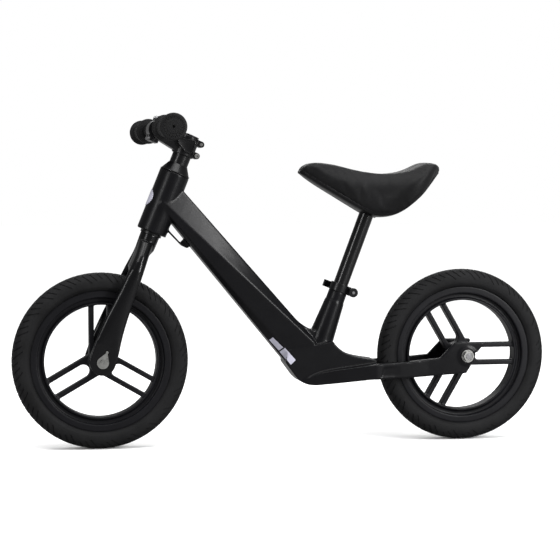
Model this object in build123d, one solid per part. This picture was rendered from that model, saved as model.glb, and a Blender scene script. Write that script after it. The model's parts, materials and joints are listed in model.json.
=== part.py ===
"""Toddler's balance bike: cast one-piece frame, unicrown fork, 12 inch foam-tyred wheels.

Row frame: +X forward, +Y to the rider's left, +Z up, origin on the ground midway between
the wheels. Lengths are in millimetres.
"""
from build123d import *
from math import cos, radians, sin
import os

# ---------------------------------------------------------------- driving dimensions
tyre_diameter = 300.0
tyre_width = 48.0
wheelbase = 635.0
head_angle = 68.0            # steering axis to the ground, in degrees
seat_angle = 69.4            # seat tube to the ground, in degrees

# fits
running_clearance = 0.05     # radial, in bearings and on the sliding post
part_gap = 0.4               # between faces that turn past each other
cam_gap = 0.15

# wheels
rim_diameter = 240.0
rim_width = 36.0
rim_flange_height = 12.0
rim_recess_depth = 9.0
rim_barrel_wall = 3.5
tyre_tongue_height = 7.0
tyre_tongue_width = 20.0
tyre_shoulder_radius = 13.0
hub_diameter = 40.0
hub_length = 58.0
spoke_pairs = 3
spoke_bar_width = 8.5
spoke_slot_width = 22.6
spoke_depth = 20.0
spoke_slot_start = 23.0
front_spoke_angle = 90.0     # first spoke pair, from +X towards +Z
rear_spoke_angle = 180.0

# axles and wheel bearings
axle_diameter = 10.0
wheel_bearing_diameter = 26.0
wheel_bearing_width = 8.0
wheel_bearing_inner_ring = 2.4
wheel_bearing_outer_ring = 2.4
wheel_bearing_balls = 9
dropout_inner_half = 36.0
dropout_thickness = 8.0
axle_slot_width = 10.4
boss_height = 1.5
boss_radius = 16.0
axle_nut_radius = 9.6
axle_nut_height = 8.0
washer_thickness = 1.6

# head tube and headset, all along the steering axis
head_tube_diameter = 52.0
head_tube_length = 108.0
steerer_diameter = 28.6
steerer_wall = 1.6
headset_diameter = 41.8
headset_bearing_height = 7.0
headset_bearing_recess = 1.0
headset_ring_wall = 1.7
headset_balls = 20
headset_bore_step = 3.0      # ledge that each headset bearing seats on
cover_height = 16.0
spacer_diameter = 32.0
spacer_height = 17.0
crown_clearance = 18.0       # tyre to the underside of the fork crown
crown_height = 62.0
crown_race_height = 4.5
crown_neck_wall = 2.4        # round the steerer at the top of the crown
steerer_depth = 28.0         # how far the steerer goes down into the crown

# stem, bar and grips
stem_height = 34.0
stem_wall = 4.6
stem_reach = 56.0
bar_rise = 6.5               # bar above the middle of the steerer clamp
stem_slit = 2.4
bar_diameter = 22.2
bar_wall = 1.6
bar_length = 422.0
bar_clamp_width = 38.0
bar_clamp_wall = 5.0
grip_length = 104.0
grip_diameter = 30.0
grip_flange_diameter = 44.0
grip_flange_thickness = 5.0
grip_end_wall = 4.0
pinch_bolt_spacing = 21.0
pinch_bolt_offset = 23.0
pinch_bolt_diameter = 5.0
faceplate_bolt_spacing = 24.0

# fork
fork_leg_outer_half = 46.0
fork_leg_inner_half = 33.0
fork_dropout_outer_half = 45.0
fork_end_radius = 22.0
tab_hook_height = 19.0       # hook hole above the front axle
tab_washer_radius = 10.0

# frame casting
beam_half_width = 27.0       # at the crease along each side
beam_back_half_width = 16.0
beam_lower_half_width = 25.0
beam_keel_half_width = 15.0
beam_head_depths = (28.5, -12.0, -18.0, -21.0)   # back, crease, lower crease, keel
beam_foot_depths = (33.0, 30.0, -17.0, -30.0)
seat_tube_length = 168.5     # bore depth below the top of the clamp
seat_tube_setback = 131.0    # from the front of the rear tyre to the foot of the seat bore
seat_foot_height = 118.0
seat_axis_setback = 5.5      # the bore's foot, behind the foot of the casting's web
seat_tube_upper_wall = 2.3    # round the post
seat_tube_lower_wall = 4.55
seat_tube_root_wall = 11.3
seat_tube_flare_foot = 45.0  # height of the flare's wide end above the foot of the bore
seat_tube_upper_length = 18.0
seat_tube_slit = 2.4
seat_tube_slit_length = 30.0
footrest_half_width = 50.0
rear_tyre_gap = 8.0
loop_thickness = 3.0
loop_width = 12.0

# seat
post_diameter = 25.4
post_wall = 1.6
post_exposed = 136.0         # from the clamp to the saddle, post fully raised
post_in_saddle = 28.0
post_insertion = 40.0        # left in the seat tube, post fully raised
saddle_rear_half_width = 71.0
saddle_nose_half_width = 30.0
saddle_base_thickness = 6.0
saddle_socket_wall = 4.0
saddle_bolt_diameter = 5.0

# seat clamp
clamp_height = 14.5
clamp_wall = 2.0
clamp_ear_reach = 29.0
clamp_ear_half_width = 10.0
clamp_ear_gap = 3.0
skewer_offset = 22.5
skewer_diameter = 5.0
adjuster_radius = 8.0
adjuster_length = 9.0
cam_radius = 6.5
cam_eccentricity = 1.0
cam_washer_thickness = 2.0
lever_height = 12.0
lever_thickness = 3.6
lever_cheek = 3.0            # each side of the lever's fork
lever_pin_radius = 2.0
lever_reach = 25.5           # tip of the lever ahead of the seat tube axis

# badge
badge_diameter = 29.0
badge_thickness = 0.8

# ---------------------------------------------------------------- derived places
tyre_radius = tyre_diameter / 2
rim_radius = rim_diameter / 2
axle_radius = axle_diameter / 2
front_hub_x = wheelbase / 2
rear_hub_x = -wheelbase / 2
steerer_radius = steerer_diameter / 2
head_tube_radius = head_tube_diameter / 2
bar_radius = bar_diameter / 2
post_radius = post_diameter / 2
seat_tube_upper_diameter = post_diameter + 2 * seat_tube_upper_wall
seat_tube_lower_diameter = post_diameter + 2 * seat_tube_lower_wall
seat_tube_root_diameter = post_diameter + 2 * seat_tube_root_wall
spacer_radius = spacer_diameter / 2

# Steering frame: local x leads forward of the axis, y is +Y, z climbs the axis from the hub.
steering = Plane(
    origin=(front_hub_x, 0, tyre_radius),
    x_dir=(sin(radians(head_angle)), 0, cos(radians(head_angle))),
    z_dir=(-cos(radians(head_angle)), 0, sin(radians(head_angle))),
)
crown_low = tyre_radius + crown_clearance
crown_top = crown_low + crown_height
steerer_low = crown_top - steerer_depth
head_low = crown_top + crown_race_height
head_top = head_low + head_tube_length
cover_low = head_top + part_gap
cover_top = cover_low + cover_height
stem_low = cover_top + spacer_height
stem_top = stem_low + stem_height
bar_height = stem_low + stem_height / 2 + bar_rise

# Seat frame: local x leads forward of the post, y is +Y, z climbs the post from the clamp's top.
seat_foot_x = rear_hub_x + tyre_radius + seat_tube_setback
clamp_top_x = seat_foot_x - seat_axis_setback - seat_tube_length * cos(radians(seat_angle))
clamp_top_z = seat_foot_height + seat_tube_length * sin(radians(seat_angle))
seat = Plane(
    origin=(clamp_top_x, 0, clamp_top_z),
    x_dir=(sin(radians(seat_angle)), 0, cos(radians(seat_angle))),
    z_dir=(-cos(radians(seat_angle)), 0, sin(radians(seat_angle))),
)
dropout_outer_half = dropout_inner_half + dropout_thickness


# ---------------------------------------------------------------- shared shapes
def rod(radius, low, high):
    """Cylinder on the local z axis between two heights."""
    return Pos(0, 0, low) * Cylinder(radius, high - low, align=(Align.CENTER, Align.CENTER, Align.MIN))


def ring(outer, inner, low, high):
    """Plain tube on the local z axis between two heights."""
    return rod(outer, low, high) - rod(inner, low - 1, high + 1)


def block(x_range, y_range, z_range):
    """Box given by its lowest and highest values along each axis."""
    size = [high - low for low, high in (x_range, y_range, z_range)]
    centre = [(high + low) / 2 for low, high in (x_range, y_range, z_range)]
    return Pos(*centre) * Box(*size)


def on_steering(shape):
    """Place a shape given in steering coordinates."""
    return steering.location * shape


def on_seat(shape):
    """Place a shape given in seat coordinates."""
    return seat.location * shape


def along_y(shape, x, z):
    """Turn a shape from the local z axis onto +Y and move it to x, z."""
    return Pos(x, 0, z) * Rot(-90, 0, 0) * shape


def side_slab(edges, y_low, y_high):
    """Closed outline in the XZ plane, extruded from y_low to y_high."""
    face = make_face(edges)
    slab = extrude(face, amount=y_high - y_low, dir=(0, 1, 0))
    return Pos(0, y_low, 0) * slab


def mirrored(shape):
    """The shape together with its copy on the other side of the centre plane."""
    return [shape, mirror(shape, about=Plane.XZ)]


def steering_point(lead, height):
    """Row X and Z of a point given in steering coordinates."""
    point = steering.from_local_coords((lead, 0, height))
    return point.X, point.Z


def seat_point(lead, height):
    """Row X and Z of a point given in seat coordinates."""
    point = seat.from_local_coords((lead, 0, height))
    return point.X, point.Z


def at_xz(points):
    """Points of the XZ plane as space points."""
    return [(x, 0, z) for x, z in points]


# ---------------------------------------------------------------- frame casting
def beam_section(centre, direction, depths):
    """Section across the beam, given by the depths of its back, crease, lower crease and keel."""
    back, crease, lower_crease, keel = depths
    plane = Plane(origin=(centre[0], 0, centre[1]), x_dir=(0, -1, 0), z_dir=direction)
    half = [
        (beam_back_half_width, back),
        (beam_half_width, crease),
        (beam_lower_half_width, lower_crease),
        (beam_keel_half_width, keel),
    ]
    left = [(-y, z) for y, z in reversed(half)]
    return plane * Polygon(*half, *left, align=None)


def frame_beam():
    """Straight faceted beam from the head tube to the foot of the seat tube."""
    high = steering_point(0, head_top - 43)
    low = (seat_foot_x + 8, seat_foot_height + 38)
    run = Vector(low[0] - high[0], 0, low[1] - high[1])
    sections = [
        beam_section(high, run, beam_head_depths),
        beam_section(low, run, beam_foot_depths),
    ]
    return loft(sections, ruled=True)


def core_outline():
    """Side outline of the middle of the foot, from the beam's keel back to the tyre."""
    x, z = seat_foot_x, seat_foot_height
    wheel_x = rear_hub_x + tyre_radius
    nose = (x + 21, z + 1)
    keel = (x - 15, z - 15.5)
    return [
        Line(at_xz([(x + 35, z + 45), (x + 38, z + 24)])),
        Line(at_xz([(x + 38, z + 24), nose])),
        ThreePointArc(*at_xz([nose, (x + 6, z - 11.5), keel])),
        Line(at_xz([keel, (wheel_x, z - 4)])),
        Line(at_xz([(wheel_x, z - 4), (wheel_x, z + 25)])),
        Spline(*at_xz([(wheel_x, z + 25), (x - 100, z + 30), (x - 68, z + 40), (x - 46, z + 60)])),
        Line(at_xz([(x - 46, z + 60), (x + 35, z + 45)])),
    ]


def root_outline():
    """Side outline of the curved web that runs the beam's back up to the seat tube."""
    x, z = seat_foot_x, seat_foot_height
    ridge = [(x + 54, z + 136), (x + 21.5, z + 102.5), (x + 3, z + 87), (x - 15, z + 79)]
    return [
        Spline(*at_xz(ridge)),
        Polyline(*at_xz([ridge[-1], (x - 20, z + 50), (x + 50, z + 90), ridge[0]])),
    ]


def side_outline():
    """Side outline of a footrest, its arm and its dropout plate."""
    x, z = seat_foot_x, seat_foot_height
    hub_x, hub_z = rear_hub_x, tyre_radius
    under = [(x - 110, z - 6), (x - 15, z - 15.5)]
    nose_arc = [(x - 15, z - 15.5), (x - 4, z - 14), (x + 8, z - 8)]
    rest = [(x + 8, z - 8), (x - 8, z + 1.5), (x - 32, z + 9), (x - 62, z + 13.5)]
    arm_top = [(hub_x + 103, hub_z - 7.8), (hub_x + 48.5, hub_z - 3)]
    plate = [
        (hub_x + 48.5, hub_z - 3),
        (hub_x + 22, hub_z + 24),
        (hub_x - 28.5, hub_z + 23.5),
        (hub_x - 31, hub_z + 20),
        (hub_x - 20, hub_z + 7.5),
        (hub_x - 13, hub_z + 2),
        (hub_x - 13, hub_z - 6),
        (hub_x - 6, hub_z - 19),
        (hub_x + 1, hub_z - 30),
        (hub_x + 12, hub_z - 31),
        (hub_x + 98, hub_z - 36),
    ]
    return [
        Line(at_xz(under)),
        ThreePointArc(*at_xz(nose_arc)),
        Spline(*at_xz(rest + [(x - 118, z + 20.5), arm_top[0]])),
        Line(at_xz(arm_top)),
        Polyline(*at_xz(plate + [(x - 110, z - 6)])),
    ]


def side_plan():
    """Plan outline of the footrests and arms together."""
    half = [
        (seat_foot_x + 10, beam_half_width),
        (seat_foot_x - 50, footrest_half_width - 9),
        (seat_foot_x - 118, footrest_half_width),
        (rear_hub_x + 70, dropout_outer_half),
        (rear_hub_x - 60, dropout_outer_half),
    ]
    outline = Polyline(*half, *[(x, -y) for x, y in reversed(half)], close=True)
    return extrude(make_face(outline), amount=2 * tyre_diameter)


def frame_foot():
    """Foot of the frame with its footrests, arms and dropouts, open for the rear tyre."""
    core = side_slab(core_outline(), -beam_half_width, beam_half_width)
    sides = side_slab(side_outline(), -footrest_half_width, footrest_half_width) & side_plan()
    foot = core + sides - tyre_room()
    foot -= block(
        (rear_hub_x - 60, rear_hub_x + 48),
        (-dropout_inner_half, dropout_inner_half),
        (0, tyre_diameter),
    )
    boss = rod(boss_radius, dropout_inner_half + 1, dropout_outer_half + boss_height)
    for side in mirrored(along_y(boss, rear_hub_x, tyre_radius)):
        foot += side
    return foot


def tyre_room():
    """Space that the rear tyre needs between the arms."""
    half = dropout_inner_half - 2
    return along_y(rod(tyre_radius + rear_tyre_gap, -half, half), rear_hub_x, tyre_radius)


def axle_slot():
    """Cutter for both rear dropouts: the axle slides in from behind."""
    far = dropout_outer_half + boss_height + 5
    radius = axle_slot_width / 2
    round_end = along_y(rod(radius, -far, far), rear_hub_x, tyre_radius)
    mouth = block(
        (rear_hub_x - 60, rear_hub_x),
        (-far, far),
        (tyre_radius - radius, tyre_radius + radius),
    )
    return round_end + mouth


def seat_tube_outside():
    """Seat tube: slim sleeve for the clamp above a length that flares into the casting."""
    sleeve_radius = seat_tube_upper_diameter / 2
    sleeve_low = -clamp_height - seat_tube_upper_length
    flare_low = -seat_tube_length + seat_tube_flare_foot
    sleeve = rod(sleeve_radius, sleeve_low - 2, -0.5)
    collar = rod(sleeve_radius + 1.2, sleeve_low, -clamp_height - 0.5)
    flare = Pos(0, 0, flare_low) * Cone(
        seat_tube_root_diameter / 2,
        seat_tube_lower_diameter / 2,
        sleeve_low - flare_low,
        align=(Align.CENTER, Align.CENTER, Align.MIN),
    )
    return on_seat(sleeve + collar + flare)


def seat_bore():
    """Blind bore for the seat post, the slit that lets the clamp close it, and a drain."""
    bore = rod(post_radius + running_clearance, -seat_tube_length, 10)
    slit = block((-40, 0), (-seat_tube_slit / 2, seat_tube_slit / 2), (-seat_tube_slit_length, 10))
    drain = rod(2.5, -seat_tube_length - 60, -seat_tube_length + 1)
    return on_seat(bore + slit + drain)


def head_tube_bore():
    """Bearing seats at both ends and the passage for the steerer between them."""
    seat_depth = headset_bearing_height + headset_bearing_recess
    through = rod(headset_diameter / 2 - headset_bore_step, head_low - 5, head_top + 5)
    low_seat = rod(headset_diameter / 2, head_low - 5, head_low + seat_depth)
    high_seat = rod(headset_diameter / 2, head_top - seat_depth, head_top + 5)
    return on_steering(through + low_seat + high_seat)


def strap_loop():
    """Small cast loop under the beam, behind the head tube."""
    start = steering_point(-head_tube_radius + 2, head_low + 12)
    end = (start[0] - 24, start[1] - 25)
    heel = (end[0] - 10, end[1] - 5)
    root = (end[0] - 22, end[1] + 3)
    top = (root[0] + 8, root[1] + 14)
    bar = loop_thickness
    outline = Polyline(
        *at_xz([
            start,
            end,
            heel,
            root,
            top,
            (end[0] - 1, end[1] + 8),
            (end[0] + 1, end[1] + bar + 1.5),
            (start[0], start[1] + bar + 1.5),
        ]),
        close=True,
    )
    return side_slab(outline, -loop_width / 2, loop_width / 2)


def make_frame():
    """One-piece casting: head tube, beam, seat tube, footrests, arms and dropouts."""
    head_tube = on_steering(rod(head_tube_radius, head_low, head_top))
    body = frame_foot() + frame_beam()
    body += side_slab(root_outline(), -beam_back_half_width, beam_back_half_width)
    body += head_tube
    body += strap_loop()
    body += seat_tube_outside()
    body -= head_tube_bore()
    body -= seat_bore()
    body -= axle_slot()
    return body


# ---------------------------------------------------------------- headset
def headset_rings(low):
    """Outer ring, inner ring and balls of one headset bearing whose underside is at low."""
    high = low + headset_bearing_height
    outer_radius = headset_diameter / 2
    race_out = outer_radius - headset_ring_wall
    bore = steerer_radius + running_clearance
    race_in = bore + headset_ring_wall
    ball_radius = (race_out - race_in) / 2 - running_clearance
    pitch = (race_out + race_in) / 2
    outer = ring(outer_radius, race_out, low, high)
    inner = ring(race_in, bore, low, high)
    balls = [
        Rot(0, 0, 360 * (n + 0.5) / headset_balls)
        * Pos(pitch, 0, (low + high) / 2)
        * Sphere(ball_radius)
        for n in range(headset_balls)
    ]
    return on_steering(outer), on_steering(inner), on_steering(Compound(children=balls))


def make_crown_race():
    """Stepped seat between the fork crown and the lower bearing's inner ring."""
    bore = steerer_radius + running_clearance
    flange = ring(steerer_radius + 4.2, bore, crown_top, head_low - part_gap)
    lip = ring(steerer_radius + 1.5, bore, head_low - part_gap - 0.1, head_low + headset_bearing_recess)
    return on_steering(flange + lip)


def make_top_cover():
    """Conical weather cover over the upper bearing."""
    rim = rod(head_tube_radius, cover_low, cover_low + 1.5)
    cone = Pos(0, 0, cover_low + 1.5) * Cone(
        head_tube_radius - 1,
        spacer_radius + 0.5,
        cover_height - 1.5,
        align=(Align.CENTER, Align.CENTER, Align.MIN),
    )
    hollow = rod(steerer_radius + running_clearance, cover_low - 1, cover_top + 1)
    pocket = rod(steerer_radius + 3.2, cover_low - 1, cover_low + 3)
    return on_steering(rim + cone - hollow - pocket)


def make_compression_ring():
    """Split wedge ring that centres the steerer in the upper bearing."""
    bore = steerer_radius + running_clearance
    low = head_top - headset_bearing_recess
    body = ring(steerer_radius + 1.6, bore, low, cover_low + 3)
    split = block((0, 30), (-0.8, 0.8), (low - 1, cover_low + 4))
    return on_steering(body - split)


def make_spacer():
    """Round spacer between the cover and the stem."""
    return on_steering(ring(spacer_radius, steerer_radius + running_clearance, cover_top, stem_low))


# ---------------------------------------------------------------- fork
def fork_side_outline():
    """Leg outline in steering coordinates: lead against height."""
    front = [
        (17, crown_top),
        (14, crown_top - 34),
        (17, tyre_radius),
        (18.5, tyre_radius * 0.8),
        (22.5, tyre_radius * 0.54),
        (24.5, tyre_radius * 0.28),
        (fork_end_radius + 1.5, 4),
    ]
    rear = [
        (-fork_end_radius, 0),
        (-20, tyre_radius * 0.15),
        (-15, tyre_radius * 0.38),
        (-12, tyre_radius * 0.61),
        (-10, tyre_radius * 0.9),
        (-9, crown_top - 34),
        (-11, crown_top),
    ]
    low = (0, -fork_end_radius)
    return [
        Spline(*at_xz(front)),
        ThreePointArc(*at_xz([front[-1], (fork_end_radius * 0.68, -fork_end_radius * 0.73), low])),
        ThreePointArc(*at_xz([low, (-fork_end_radius * 0.7, -fork_end_radius * 0.7), rear[0]])),
        Spline(*at_xz(rear)),
        Line(at_xz([rear[-1], front[0]])),
    ]


def fork_front_outline():
    """Arch of crown and legs in steering coordinates: side against height."""
    neck = 19
    shoulder = crown_top - 44
    inner_top = crown_low - 14
    outer = [
        (neck, crown_top),
        (neck + 3, crown_top - 12),
        (fork_leg_outer_half - 3, shoulder),
        (fork_leg_outer_half, shoulder - 24),
        (fork_dropout_outer_half, 40),
        (fork_dropout_outer_half, -60),
    ]
    inner = [
        (dropout_inner_half, -60),
        (dropout_inner_half, 34),
        (fork_leg_inner_half, 70),
        (fork_leg_inner_half, inner_top),
    ]
    half = outer + inner
    right = [(-y, z) for y, z in reversed(half)]
    points = [(0, y, z) for y, z in half] + [(0, 0, crown_low + 6)] + [(0, y, z) for y, z in right]
    return make_face(Polyline(*points, close=True))


def make_fork():
    """Crown and both legs as one casting, bored for the steerer and slotted for the axle."""
    legs = make_face(fork_side_outline())
    side = Pos(0, -100, 0) * extrude(legs, amount=200, dir=(0, 1, 0))
    front = Pos(-100, 0, 0) * extrude(fork_front_outline(), amount=200, dir=(1, 0, 0))
    neck = rod(steerer_radius + crown_neck_wall, steerer_low - 5, crown_top)
    fork = (side & front) + neck
    bore = rod(steerer_radius, steerer_low, crown_top + 1)
    axle_hole = Rot(-90, 0, 0) * rod(axle_slot_width / 2, -60, 60)
    hook_hole = Pos(0, 0, tab_hook_height) * Rot(-90, 0, 0) * rod(2.6, -60, 60)
    return on_steering(fork - bore - axle_hole - hook_hole)


def make_tab_washers():
    """Teardrop safety washers whose hooks sit in the holes above the axle."""
    low = fork_dropout_outer_half
    high = low + washer_thickness
    disc = Rot(-90, 0, 0) * rod(tab_washer_radius, low, high)
    nose = Pos(0, 0, tab_hook_height - 2) * Rot(-90, 0, 0) * rod(1.6, low, high)
    tip = tab_hook_height - 2
    hull_points = [(-9.2, 0, 4), (-1.6, 0, tip), (1.6, 0, tip), (9.2, 0, 4)]
    wedge = Pos(0, low, 0) * extrude(
        make_face(Polyline(*hull_points, close=True)), amount=washer_thickness, dir=(0, 1, 0)
    )
    hook = Pos(0, 0, tab_hook_height) * Rot(-90, 0, 0) * rod(2.2, low - 5, high)
    hole = Rot(-90, 0, 0) * rod(axle_radius, low - 10, high + 10)
    washer = disc + nose + wedge + hook - hole
    return on_steering(Compound(children=mirrored(washer)))


def make_steerer():
    """Steel steerer tube pressed into the crown."""
    tube = ring(steerer_radius, steerer_radius - steerer_wall, steerer_low, stem_top - 2.5)
    return on_steering(tube)


# ---------------------------------------------------------------- stem and bar
def pinch_heights():
    """Heights of the two pinch bolts on the stem."""
    middle = stem_low + stem_height / 2 + 0.8
    return middle - pinch_bolt_spacing / 2, middle + pinch_bolt_spacing / 2


def stem_body():
    """Steerer clamp, extension and the rear half of the bar clamp, before boring."""
    clamp_radius = steerer_radius + stem_wall
    clamp = rod(clamp_radius, stem_low, stem_top)
    outline = Polyline(
        *at_xz([
            (0, stem_low + 1),
            (12, stem_low + 2),
            (stem_reach - 6, bar_height - 15),
            (stem_reach + 1, bar_height - 15),
            (stem_reach + 1, bar_height + 15),
            (20, stem_top),
            (0, stem_top),
        ]),
        close=True,
    )
    neck = side_slab(outline, -15, 15)
    bar_clamp = Pos(stem_reach, 0, bar_height) * Rot(-90, 0, 0) * rod(
        bar_radius + bar_clamp_wall, -bar_clamp_width / 2, bar_clamp_width / 2
    )
    lugs = []
    for height in pinch_heights():
        lug = Rot(-90, 0, 0) * rod(5.4, -11, 11)
        web = block((-pinch_bolt_offset, -8), (-11, 11), (height - 5.4, height + 5.4))
        lugs.append(Pos(-pinch_bolt_offset, 0, height) * lug + web)
    ears = [
        block(
            (stem_reach - 8, stem_reach),
            (-bar_clamp_width / 2, bar_clamp_width / 2),
            (bar_height + side * 17 - 5, bar_height + side * 17 + 5),
        )
        for side in (-1, 1)
    ]
    body = clamp + neck + bar_clamp
    for piece in lugs + ears:
        body += piece
    return body


def faceplate_bolt_axes():
    """Side and height of the four faceplate bolts."""
    side = faceplate_bolt_spacing / 2
    return [(y, bar_height + z) for y in (-side, side) for z in (-17, 17)]


def make_stem():
    """Threadless stem, slit at the back and open at the front for the bar."""
    body = stem_body()
    body -= block((stem_reach - 0.6, stem_reach + 60), (-60, 60), (0, stem_top + 60))
    body -= rod(steerer_radius + running_clearance / 2, stem_low - 5, stem_top + 60)
    body -= Pos(stem_reach, 0, bar_height) * Rot(-90, 0, 0) * rod(bar_radius, -60, 60)
    body -= block((-60, -10), (-stem_slit / 2, stem_slit / 2), (stem_low - 5, stem_top + 5))
    for height in pinch_heights():
        bolt_hole = Rot(-90, 0, 0) * rod(pinch_bolt_diameter / 2, -30, 30)
        body -= Pos(-pinch_bolt_offset, 0, height) * bolt_hole
    for y, z in faceplate_bolt_axes():
        body -= Pos(stem_reach - 8, y, z) * Rot(0, 90, 0) * rod(2.5, -4, 20)
    return on_steering(body)


def make_pinch_bolts():
    """Two socket bolts that close the steerer clamp, put in from opposite sides."""
    bolts = []
    for height, side in zip(pinch_heights(), (1, -1)):
        shank = rod(pinch_bolt_diameter / 2, -11, 11)
        head = rod(4.2, 11, 15) - rod(1.6, 13, 16)
        bolts.append(Pos(-pinch_bolt_offset, 0, height) * Rot(-90 * side, 0, 0) * (shank + head))
    return on_steering(Compound(children=bolts))


def make_faceplate():
    """Front half of the bar clamp."""
    half_height = 22
    plate = block(
        (stem_reach + 0.6, stem_reach + 7),
        (-bar_clamp_width / 2, bar_clamp_width / 2),
        (bar_height - half_height, bar_height + half_height),
    )
    shell = Pos(stem_reach, 0, bar_height) * Rot(-90, 0, 0) * rod(
        bar_radius + bar_clamp_wall, -bar_clamp_width / 2, bar_clamp_width / 2
    )
    shell &= block((stem_reach + 0.6, stem_reach + 60), (-60, 60), (0, stem_top + 60))
    body = plate + shell
    body -= Pos(stem_reach, 0, bar_height) * Rot(-90, 0, 0) * rod(bar_radius, -60, 60)
    for y, z in faceplate_bolt_axes():
        body -= Pos(stem_reach, y, z) * Rot(0, 90, 0) * (rod(2.5, -1, 20) + rod(4.2, 7, 20))
    return on_steering(body)


def make_faceplate_bolts():
    """Four socket bolts that hold the faceplate."""
    bolts = []
    for y, z in faceplate_bolt_axes():
        bolt = rod(2.5, -8, 7) + rod(4.2, 7, 11) - rod(1.6, 9, 12)
        bolts.append(Pos(stem_reach, y, z) * Rot(0, 90, 0) * bolt)
    return on_steering(Compound(children=bolts))


def make_top_cap():
    """Thin round cap that preloads the headset."""
    disc = rod(steerer_radius + 2.2, stem_top, stem_top + 3)
    spigot = rod(steerer_radius - steerer_wall - 0.4, stem_top - 2, stem_top)
    bore = rod(3, stem_top - 5, stem_top + 5)
    sink = rod(4.8, stem_top + 1.2, stem_top + 5)
    return on_steering(disc + spigot - bore - sink)


def make_top_cap_bolt():
    """Bolt from the cap down to the star nut."""
    shank = rod(3, stem_top - 30, stem_top + 1.2)
    head = rod(4.8, stem_top + 1.2, stem_top + 4.2) - rod(2, stem_top + 2, stem_top + 5)
    return on_steering(shank + head)


def make_star_nut():
    """Anchor nut pressed inside the steerer."""
    sleeve = rod(4.5, stem_top - 32, stem_top - 18)
    upper = rod(steerer_radius - steerer_wall, stem_top - 21, stem_top - 20)
    lower = rod(steerer_radius - steerer_wall, stem_top - 30, stem_top - 29)
    nut = sleeve + upper + lower - rod(3, stem_top - 40, stem_top)
    return on_steering(nut)


def bar_piece(shape):
    """Place a shape given along the bar, local z towards +Y."""
    return on_steering(Pos(stem_reach, 0, bar_height) * Rot(-90, 0, 0) * shape)


def make_handlebar():
    """Straight handlebar tube."""
    return bar_piece(ring(bar_radius, bar_radius - bar_wall, -bar_length / 2, bar_length / 2))


def make_grip():
    """Left grip: sleeve with a round flange at each end, closed at the tip."""
    tip = bar_length / 2 + grip_end_wall
    start = tip - grip_length
    sleeve = rod(grip_diameter / 2, start, tip)
    inner_flange = rod(grip_flange_diameter / 2, start, start + grip_flange_thickness)
    end_flange = rod(grip_flange_diameter / 2, tip - grip_flange_thickness, tip)
    bore = rod(bar_radius, start - 1, bar_length / 2)
    return bar_piece(sleeve + inner_flange + end_flange - bore)


# ---------------------------------------------------------------- wheels
def wheel_profile_half():
    """Half section of the rim, radius against width, from its inner edge outwards."""
    outer = rim_radius
    flange_low = outer - rim_flange_height
    barrel_low = flange_low - rim_recess_depth - rim_barrel_wall
    web_half = rim_width / 2 - rim_recess_depth
    return barrel_low, flange_low, web_half


def make_rim(first_angle):
    """Cast wheel: hub, paired spokes, recessed barrel and tyre channel."""
    barrel_low, flange_low, web_half = wheel_profile_half()
    half = rim_width / 2
    tongue_low = rim_radius - tyre_tongue_height
    section = Polyline(
        (barrel_low, -half + 4, 0),
        (barrel_low, half - 4, 0),
        (barrel_low + rim_barrel_wall, half - 4, 0),
        (barrel_low + rim_barrel_wall + 1.5, web_half, 0),
        (flange_low, web_half, 0),
        (flange_low, half, 0),
        (rim_radius, half, 0),
        (rim_radius, tyre_tongue_width / 2, 0),
        (tongue_low, tyre_tongue_width / 2, 0),
        (tongue_low, -tyre_tongue_width / 2, 0),
        (rim_radius, -tyre_tongue_width / 2, 0),
        (rim_radius, -half, 0),
        (flange_low, -half, 0),
        (flange_low, -web_half, 0),
        (barrel_low + rim_barrel_wall + 1.5, -web_half, 0),
        (barrel_low + rim_barrel_wall, -half + 4, 0),
        close=True,
    )
    hoop = revolve(make_face(section), axis=Axis.Y)
    spokes = wheel_spokes(first_angle, barrel_low)
    bearing_radius = wheel_bearing_diameter / 2
    hub = rod(hub_diameter / 2, -hub_length / 2, hub_length / 2)
    hub -= rod(bearing_radius - 2, -hub_length, hub_length)
    for side in (-1, 1):
        seat_mid = side * (hub_length / 2)
        hub -= rod(bearing_radius, seat_mid - wheel_bearing_width, seat_mid + wheel_bearing_width)
    passage = rod(bearing_radius, -hub_length, hub_length)
    turned_hub = Rot(-90, 0, 0) * hub
    turned_passage = Rot(-90, 0, 0) * passage
    return hoop + (spokes - turned_passage) + turned_hub


def wheel_spokes(first_angle, barrel_low):
    """Pairs of parallel bars from the hub to the barrel, each pair joined by a rounded web."""
    reach = barrel_low + rim_barrel_wall / 2
    round_end = spoke_slot_start + spoke_slot_width / 2
    offset = (spoke_slot_width + spoke_bar_width) / 2
    bars = [Pos(reach / 2, side * offset) * Rectangle(reach, spoke_bar_width) for side in (-1, 1)]
    root = Pos(round_end / 2, 0) * Rectangle(round_end, spoke_slot_width + spoke_bar_width)
    pair = bars[0] + bars[1] + (root - Pos(round_end, 0) * Circle(spoke_slot_width / 2))
    web = Circle(hub_diameter / 2)
    for n in range(spoke_pairs):
        web += Rot(0, 0, first_angle + 360 * n / spoke_pairs) * pair
    web &= Circle(reach)
    return Rot(90, 0, 0) * extrude(web, amount=spoke_depth / 2, both=True)


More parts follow.
